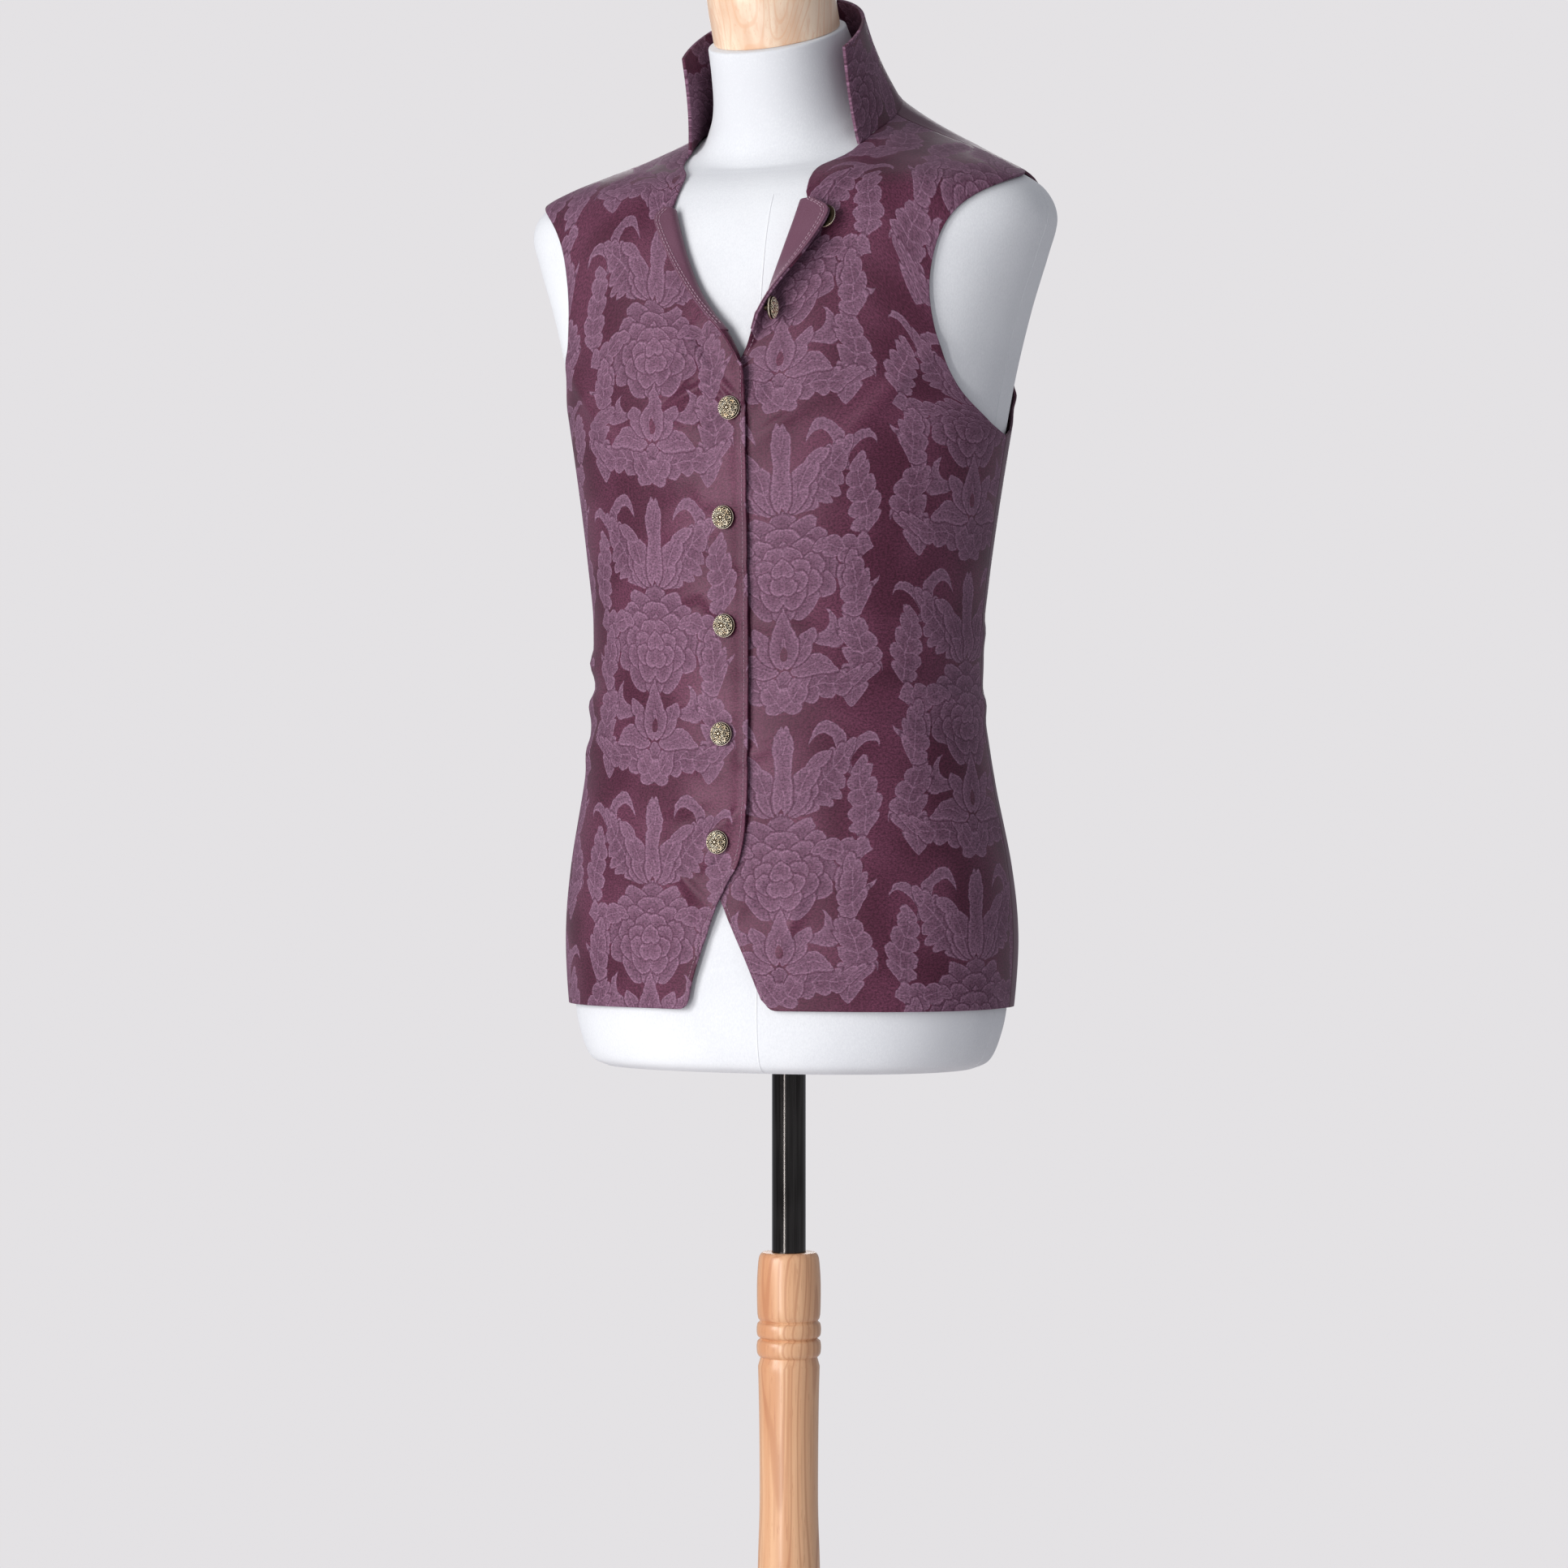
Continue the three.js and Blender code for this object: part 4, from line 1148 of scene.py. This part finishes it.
def smoothProfile(points, steps):
    table = [{"radius": radius, "height": height} for radius, height in points]
    fine = []
    for i in range((len(table) - 1) * steps + 1):
        fine.append((curveAt(table, "radius", i / steps), curveAt(table, "height", i / steps)))
    return fine


stand = {
    "rodRadius": 12.5,
    "rodLow": 554.3,
    "rodHigh": 791.7,
    "postTop": 614.0,
    "boreRadius": 12.8,
    "boreDepth": 60.0,
    "footRadius": 190.0,
    "footThickness": 28.0,
    "tenonRadius": 16.0,
    "tenonLong": 20.0,
}
postShaft = [(37, 28.3), (38, 34), (36, 44), (29, 54), (24, 66), (23, 84), (26, 140), (26, 210),
             (24.5, 290), (23, 380), (21.6, 430), (22, 495), (22.8, 530)]
postRings = [(21, 536.5), (23.2, 539), (23.8, 544), (23.2, 548.5), (21, 550.5), (23.2, 552.5),
             (23.8, 557), (23.2, 561.5), (21.4, 563.5), (23.2, 568), (23.6, 590), (22.6, 607),
             (21.4, 612), (19.5, 614)]


def standPieces():
    top, boreRadius = stand["postTop"], stand["boreRadius"]
    bore = [(boreRadius, top), (boreRadius, top - stand["boreDepth"])]
    shoulder = stand["footThickness"] + cloth["seamGap"]
    tenon = [(stand["tenonRadius"], shoulder - stand["tenonLong"]), (stand["tenonRadius"], shoulder)]
    profile = tenon + smoothProfile(postShaft, 5) + smoothProfile(postRings, 3) + bore
    post = turnPiece("post", profile, finishes["beech"])
    r, t = stand["footRadius"], stand["footThickness"]
    rim = [(r - 6, 0), (r - 1.5, 1.6), (r, 6), (r, 14), (r - 3, 20.5), (r - 11, 24.6),
           (r - 26, 26.8), (r - 44, t)]
    hole = stand["tenonRadius"] + cloth["seamGap"]
    footProfile = smoothProfile(rim, 4) + [(60, t), (hole, t), (hole, t - stand["tenonLong"])]
    foot = turnPiece("foot", footProfile, finishes["footWood"], 160)
    r, low = stand["rodRadius"], stand["rodLow"]
    rod = turnPiece("rod", [(r - 1, low), (r, low + 1), (r, stand["rodHigh"])], finishes["steel"])
    return post, foot, rod


post, foot, rod = standPieces()
print("stand turned")


def formPiece():
    # a tall cylinder shaped ring by ring to the form's levels, from its socket to the neck's lip
    sides, rings = form["sides"], form["rings"]
    turns = [2 * math.pi * s / sides for s in range(sides)]
    ringList = []
    for height in (stand["rodHigh"] + cloth["seamGap"], form["underside"]):
        r = form["socketRadius"]
        ringList.append([Vector((r * math.sin(turn), -r * math.cos(turn), height)) for turn in turns])
    for i in range(rings + 1):
        level = (len(formLevels) - 1) * i / rings
        ringList.append([formPoint(360 * s / sides, level) for s in range(sides)])
    tilt = math.radians(form["neckTilt"])
    axis = Vector((0, -math.sin(tilt), math.cos(tilt)))
    neckRing = ringList[-1]
    middle = sum(neckRing, Vector()) / sides
    for factor, lift in ((0.993, 0.9), (0.97, form["coverLip"]), (0.5, form["coverLip"])):
        ringList.append([middle.lerp(point, factor) + axis * lift for point in neckRing])
    verts = [(point * mm)[:] for ring in ringList for point in ring]
    piece = meshPiece("torso", verts, tubeFaces(0, len(ringList), sides))
    finished = finishPiece(piece, "torso", finishes["cover"], 45)
    return finished, middle + axis * (form["coverLip"] + cloth["seamGap"]), axis


torso, neckFoot, neckAxis = formPiece()


coverSeam = {
    "low": 0.35,
    "reach": 14.5,
    "steps": 90,
    "sides": 6,
    "halfWidth": 0.55,
    "halfHeight": 0.42,
    "frontAside": 26.0,
}


def seamPiece():
    # the raised seams of the cover: one down the front, one at each side, one down the back
    verts, faces = [], []
    steps, sides = coverSeam["steps"], coverSeam["sides"]
    for angle in (0, 90, 180, 270):
        start = len(verts)
        for i in range(steps + 1):
            level = coverSeam["low"] + coverSeam["reach"] * i / steps
            turn = angle
            if angle == 0:
                turn = math.degrees(math.atan2(coverSeam["frontAside"], -formPoint(0, level).y))
            point, normal = formPoint(turn, level), formNormal(turn, level)
            across = normal.cross(Vector((0, 0, 1))).normalized()
            for k in range(sides):
                spin = math.pi * k / 3
                aside = across * math.cos(spin) * coverSeam["halfWidth"]
                out = normal * math.sin(spin) * coverSeam["halfHeight"]
                verts.append(((point + aside + out) * mm)[:])
        faces += tubeFaces(start, steps + 1, sides)
    piece = meshPiece("coverSeams", verts, faces)
    finishPiece(piece, "coverSeams", finishes["cover"], 60)
    faceOutwards(piece)
    return piece


def neckPiece():
    outline = [(46, 0), (47, 1.5), (47, 14), (47, 28), (46, 38), (42.5, 46), (34, 52), (19, 55.5)]
    piece = turnPiece("neckBlock", smoothProfile(outline, 4), finishes["neckWood"])
    turn = Vector((0, 0, 1)).rotation_difference(neckAxis).to_matrix().to_4x4()
    piece.data.transform(Matrix.Translation(neckFoot * mm) @ turn)
    return piece


neckBlock = neckPiece()
coverSeams = seamPiece()
print("form covered")


# buttons: a dome under pierced curls, with a roped rim

button = {
    "radius": 8.5,
    "shank": 1.2,
    "rim": 1.2,
    "dome": 4.2,
    "petals": 7,
    "petalOut": 4.9,
    "petalRadius": 1.75,
    "beads": 34,
    "beadsIn": 1.25,
    "beadSize": 0.48,
    "innerBeads": 9,
    "shankRadius": 2.2,
    "sunk": 0.33,  # the dark ground, painted shade for the pierced holes, lies this far under the pierced dome
    "curlWire": 0.34,
    "curlLean": 0.5,
    "top": 1229.2,
    "spacing": 77.8,
    "insets": (11.8, 17.7, 18.1, 20.3, 22.4),
}


def domeHeight(out):
    base = button["shank"] + button["rim"]
    return base + button["dome"] * (1 - (out / button["radius"]) ** 2) ** 0.62


def joined(pieces):
    deselect()
    for piece in pieces:
        piece.select_set(True)
    bpy.context.view_layer.objects.active = pieces[0]
    bpy.ops.object.join()
    return bpy.context.object


def onDome(out, turn, sunk):
    return Vector((out * math.cos(turn), out * math.sin(turn), domeHeight(out) - sunk)) * mm


def addBead(out, turn, sunk, size, height=1.0, fine=(8, 6)):
    deselect()
    spot = onDome(out, turn, sunk)
    bpy.ops.mesh.primitive_uv_sphere_add(segments=fine[0], ring_count=fine[1], radius=size * mm,
                                         location=spot)
    bpy.context.object.scale = (1, 1, height)
    return finishPiece(bpy.context.object, "bead", finishes["brass"])


def addCurl(out, turn, size):
    deselect()
    bpy.ops.mesh.primitive_torus_add(major_segments=18, minor_segments=6, major_radius=size * mm,
                                     minor_radius=button["curlWire"] * mm, location=onDome(out, turn, 0.1),
                                     rotation=(0, button["curlLean"], turn))
    bpy.context.object.scale = (1.15, 0.9, 1)
    return finishPiece(bpy.context.object, "petal", finishes["brass"])


def buttonPattern():
    r, low = button["radius"], button["shank"]
    high = low + button["rim"]
    stem = [(button["shankRadius"], 0), (button["shankRadius"], low)]
    rim = [(r - 0.6, low), (r - 0.1, low + 0.4), (r - 0.1, high)]
    dome = [(out, domeHeight(out) - button["sunk"]) for out in (8.0, 7.2, 6.0, 4.6, 3.0, 1.4)]
    parts = [turnPiece("buttonBody", stem + rim + dome, finishes["brassHollowShade"], 40)]
    deselect()
    bpy.ops.mesh.primitive_torus_add(major_segments=48, minor_segments=8, major_radius=(r - 0.45) * mm,
                                     minor_radius=0.5 * mm, location=(0, 0, high * mm))
    parts.append(finishPiece(bpy.context.object, "rim", finishes["brass"]))
    for i in range(button["beads"]):
        turn = 2 * math.pi * i / button["beads"]
        parts.append(addBead(r - button["beadsIn"], turn, 0.1, button["beadSize"], 0.8))
    petals = button["petals"]
    for i in range(petals):
        turn = 2 * math.pi * i / petals
        parts.append(addCurl(button["petalOut"], turn, button["petalRadius"]))
        parts.append(addCurl(button["petalOut"] + 0.35, turn, button["petalRadius"] * 0.5))
    for count, out, size in ((button["innerBeads"], 2.3, 0.55), (petals, 3.3, 0.5), (petals, 6.1, 0.62)):
        for i in range(count):
            parts.append(addBead(out, 2 * math.pi * (i + 0.5) / count, 0.05, size))
    parts.append(addBead(0, 0, 0.3, 1.1, 1.0, (16, 10)))
    return joined(parts)


def standOn(point, normal, side, roll):
    spot = Vector((side * point.x, point.y, point.z)) * mm
    facing = Vector((side * normal.x, normal.y, normal.z))
    turn = Vector((0, 0, 1)).rotation_difference(facing).to_matrix().to_4x4()
    return Matrix.Translation(spot) @ turn @ Matrix.Rotation(roll, 4, "Z")


pattern = buttonPattern()
buttons = []


def placeButton(number, matrix, shank):
    piece = bpy.data.objects.new(f"button{number}", pattern.data.copy())
    bpy.context.collection.objects.link(piece)
    if shank > button["shank"]:
        lift = (shank - button["shank"]) * mm
        for vert in piece.data.vertices:
            if vert.co.z > 0.6 * mm:
                vert.co.z += lift
    piece.data.transform(matrix)
    piece.data.name = piece.name
    buttons.append(piece)


for order, inset in enumerate(button["insets"]):
    height = button["top"] - order * button["spacing"]
    angle, level = placeAt(inset - 20, height, -1, True)
    point, normal = clothPoint(angle, level, -1, True)
    point = point + normal * (cloth["wall"] / 2 + cloth["seamGap"] + 0.1)
    placeButton(order + 1, standOn(point, normal, -1, order * 0.9), button["shank"])

# the undone buttons: number, height, share of the strip's width, shank and gap under it
for number, height, share, shank, gap in ((6, 1298, 0.78, 3.6, 1.2), (7, 1361, 0.84, 1.2, 0.5)):
    upper = next(i for i, row in enumerate(leftEdge) if row["height"] >= height)
    below, above = leftEdge[upper - 1]["height"], leftEdge[upper]["height"]
    t = (height - below) / (above - below)
    hinge, data = leftHinges[round((upper - 1 + t) * fineness["rowSteps"])]
    point, normal = stripPoint(hinge, data["width"] * share, cloth["leftFold"], data["turn"])
    point = point + normal * (cloth["wall"] / 2 + gap)
    placeButton(number, standOn(point, normal, 1, 0.3 * number), shank)
bpy.data.objects.remove(pattern, do_unlink=True)
print("buttons sewn on")


# stitching along the edges, one short stitch after another

stitch = {"inset": 3.0, "long": 2.6, "gap": 0.8}


def stitchLine(path, thick):
    # path: points with normals; returns short thread tubes laid along it
    verts, faces = [], []
    travelled, need = 0.0, stitch["gap"]
    stitches = []
    for (a, na), (b, nb) in zip(path, path[1:]):
        length = (b - a).length
        at = need - travelled
        while at <= length and length > 0:
            normal = na.lerp(nb, at / length).normalized()
            stitches.append((a.lerp(b, at / length), (b - a).normalized(), normal))
            at += stitch["long"] + stitch["gap"]
        travelled = length - (at - (stitch["long"] + stitch["gap"]))
        need = stitch["long"] + stitch["gap"]
    for spot, along, normal in stitches:
        aside = along.cross(normal).normalized()
        base = len(verts)
        ends = ((-0.5, -0.35), (-0.3, 0.7), (0.3, 0.7), (0.5, -0.35))
        for share, lift in ends:
            middle = spot + along * (share * stitch["long"]) + normal * (lift * thick)
            thin = 0.55 if abs(share) > 0.4 else 1.0
            for k in range(6):
                turn = math.pi * k / 3
                offset = aside * math.cos(turn) + normal * math.sin(turn)
                verts.append(middle + offset * (thick * thin))
        faces += tubeFaces(base, len(ends), 6)
    return verts, faces


def threadPiece(name, paths):
    verts, faces = [], []
    for path, thick in paths:
        lineVerts, lineFaces = stitchLine(path, thick)
        start = len(verts)
        verts.extend((v * mm)[:] for v in lineVerts)
        faces.extend(tuple(i + start for i in face) for face in lineFaces)
    piece = meshPiece(name, verts, faces)
    finishPiece(piece, name, finishes["thread"], 60)
    faceOutwards(piece)
    return piece


def edgePath(rows, side, firstRow, lastRow, inset, lift):
    # a line along the free edge of a front, a few millimetres in
    path = []
    for row in rows[firstRow:lastRow + 1]:
        travelled = 0.0
        for column in range(len(row) - 1):
            step = (row[column + 1][0] - row[column][0]).length
            if travelled + step >= inset:
                t = (inset - travelled) / step
                point = row[column][0].lerp(row[column + 1][0], t)
                normal = row[column][1].lerp(row[column + 1][1], t).normalized()
                spot = point + normal * lift
                out = normal if lift > 0 else -normal
                path.append((Vector((side * spot.x, spot.y, spot.z)), Vector((side * out.x, out.y, out.z))))
                break
            travelled += step
    return path


outside = cloth["wall"] / 2 + 0.02
facingSide = -(cloth["wall"] / 2 + cloth["seamGap"] + cloth["facing"] + 0.02)
leftStitches = threadPiece("leftStitches", [
    (edgePath(leftRows, 1, 2, facingStart, stitch["inset"], outside), 0.22),
    (edgePath(leftRows, 1, facingStart + 3, stripRows, stitch["inset"], facingSide), 0.36),
    (edgePath(leftRows, 1, facingStart + 3, stripRows, stitch["inset"] + 2.4, facingSide), 0.36),
])
rightStitches = threadPiece("rightStitches", [
    (edgePath(rightRows, -1, 2, facingStart - 6, stitch["inset"], outside), 0.22),
    (edgePath(rightRows, -1, facingStart + 3, stripRows, stitch["inset"] - 1, facingSide), 0.34),
    (edgePath(rightRows, -1, facingStart + 3, stripRows, stitch["inset"] + 1.2, facingSide), 0.34),
])
print("edges stitched")


# what stands for what: each piece hangs from the root, and the part it stands for is hidden

standsFor = [
    (frontLeft, "front_left", "damask"),
    (frontRight, "front_right", "damask"),
    (facingLeft, "facing_left", "facing_satin"),
    (facingRight, "facing_right", "facing_satin"),
    (backLeft, "back_left", "back_satin"),
    (backRight, "back_right", "back_satin"),
    (collarPiece, "collar", "damask"),
    (torso, "form_torso", "form_cover"),
    (neckBlock, "form_neck", "beech"),
    (rod, "stand_rod", "dark_steel"),
    (post, "stand_post", "beech"),
    (foot, "stand_base", "beech"),
] + [(piece, f"button_{i + 1}", "button_brass") for i, piece in enumerate(buttons)]
for piece, node, slot in standsFor:
    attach(piece, "root")
    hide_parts(node)
for piece in (leftStitches, rightStitches):
    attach(piece, "root")
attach(coverSeams, "root")

# floor and light

studio = {
    "floorRadius": 2.0,
    "backdrop": (0.775, 0.759, 0.777, 1),
    "backdropStrength": 1.0,
    "fill": (0.9, 0.92, 1, 1),
    "fillStrength": 0.38,
}


def addFloor(spec):
    deselect()
    bpy.ops.mesh.primitive_circle_add(vertices=128, radius=spec["floorRadius"], fill_type="NGON",
                                      location=(0, 0, -0.0005))
    floor = bpy.context.object
    floor.name = "floor"
    material, shader, wire = startMaterial("floor", {"Specular IOR Level": 0.2})
    place = wire.place()
    mottle = wire.noise(place, 3.0, 3.0, 0.5)
    tone = mottle.step(0.35, 0.65).blend(colour(227, 225, 228), colour(230, 228, 231))
    link(tone, shader, "Base Color")
    link(mottle * 0.06 + 0.72, shader, "Roughness")
    floor.data.materials.append(material)


def addLight(name, place, aim, size, power):
    data = bpy.data.lights.new(name, "AREA")
    data.shape = "RECTANGLE"
    data.size, data.size_y = size
    data.energy = power
    lamp = bpy.data.objects.new(name, data)
    bpy.context.collection.objects.link(lamp)
    lamp.location = place
    lamp.rotation_euler = (Vector(aim) - Vector(place)).to_track_quat("-Z", "Y").to_euler()


def addWorld(spec):
    world = bpy.data.worlds.new("studio")
    bpy.context.scene.world = world
    world.use_nodes = True
    tree = world.node_tree
    tree.nodes.clear()
    wire = Wire(tree)
    backdrop = {"Color": spec["backdrop"], "Strength": spec["backdropStrength"]}
    seen = wire.node("ShaderNodeBackground", None, backdrop)
    fill = wire.node("ShaderNodeBackground", None, {"Color": spec["fill"], "Strength": spec["fillStrength"]})
    direct = wire.node("ShaderNodeLightPath")
    both = wire.node("ShaderNodeMixShader", None, {0: direct, 1: fill, 2: seen})
    wire.node("ShaderNodeOutputWorld", None, {0: both})


addFloor(studio)
addWorld(studio)
addLight("key", (-1.55, -2.9, 1.75), (0, 0, 1.15), (1.3, 1.9), 71)
addLight("strip", (-0.3, -2.6, 0.75), (0, 0, 0.75), (0.16, 1.5), 22)
addLight("side", (2.8, -1.6, 1.8), (0, 0, 1.1), (1.0, 2.0), 3)
addLight("top", (-0.4, 0.2, 3.3), (0, 0, 1.2), (1.6, 1.6), 2)
addLight("behind", (-1.2, 2.8, 2.0), (0, 0, 1.1), (1.4, 1.8), 20)
bpy.context.scene.view_settings.view_transform = "Standard"
print("studio lit")
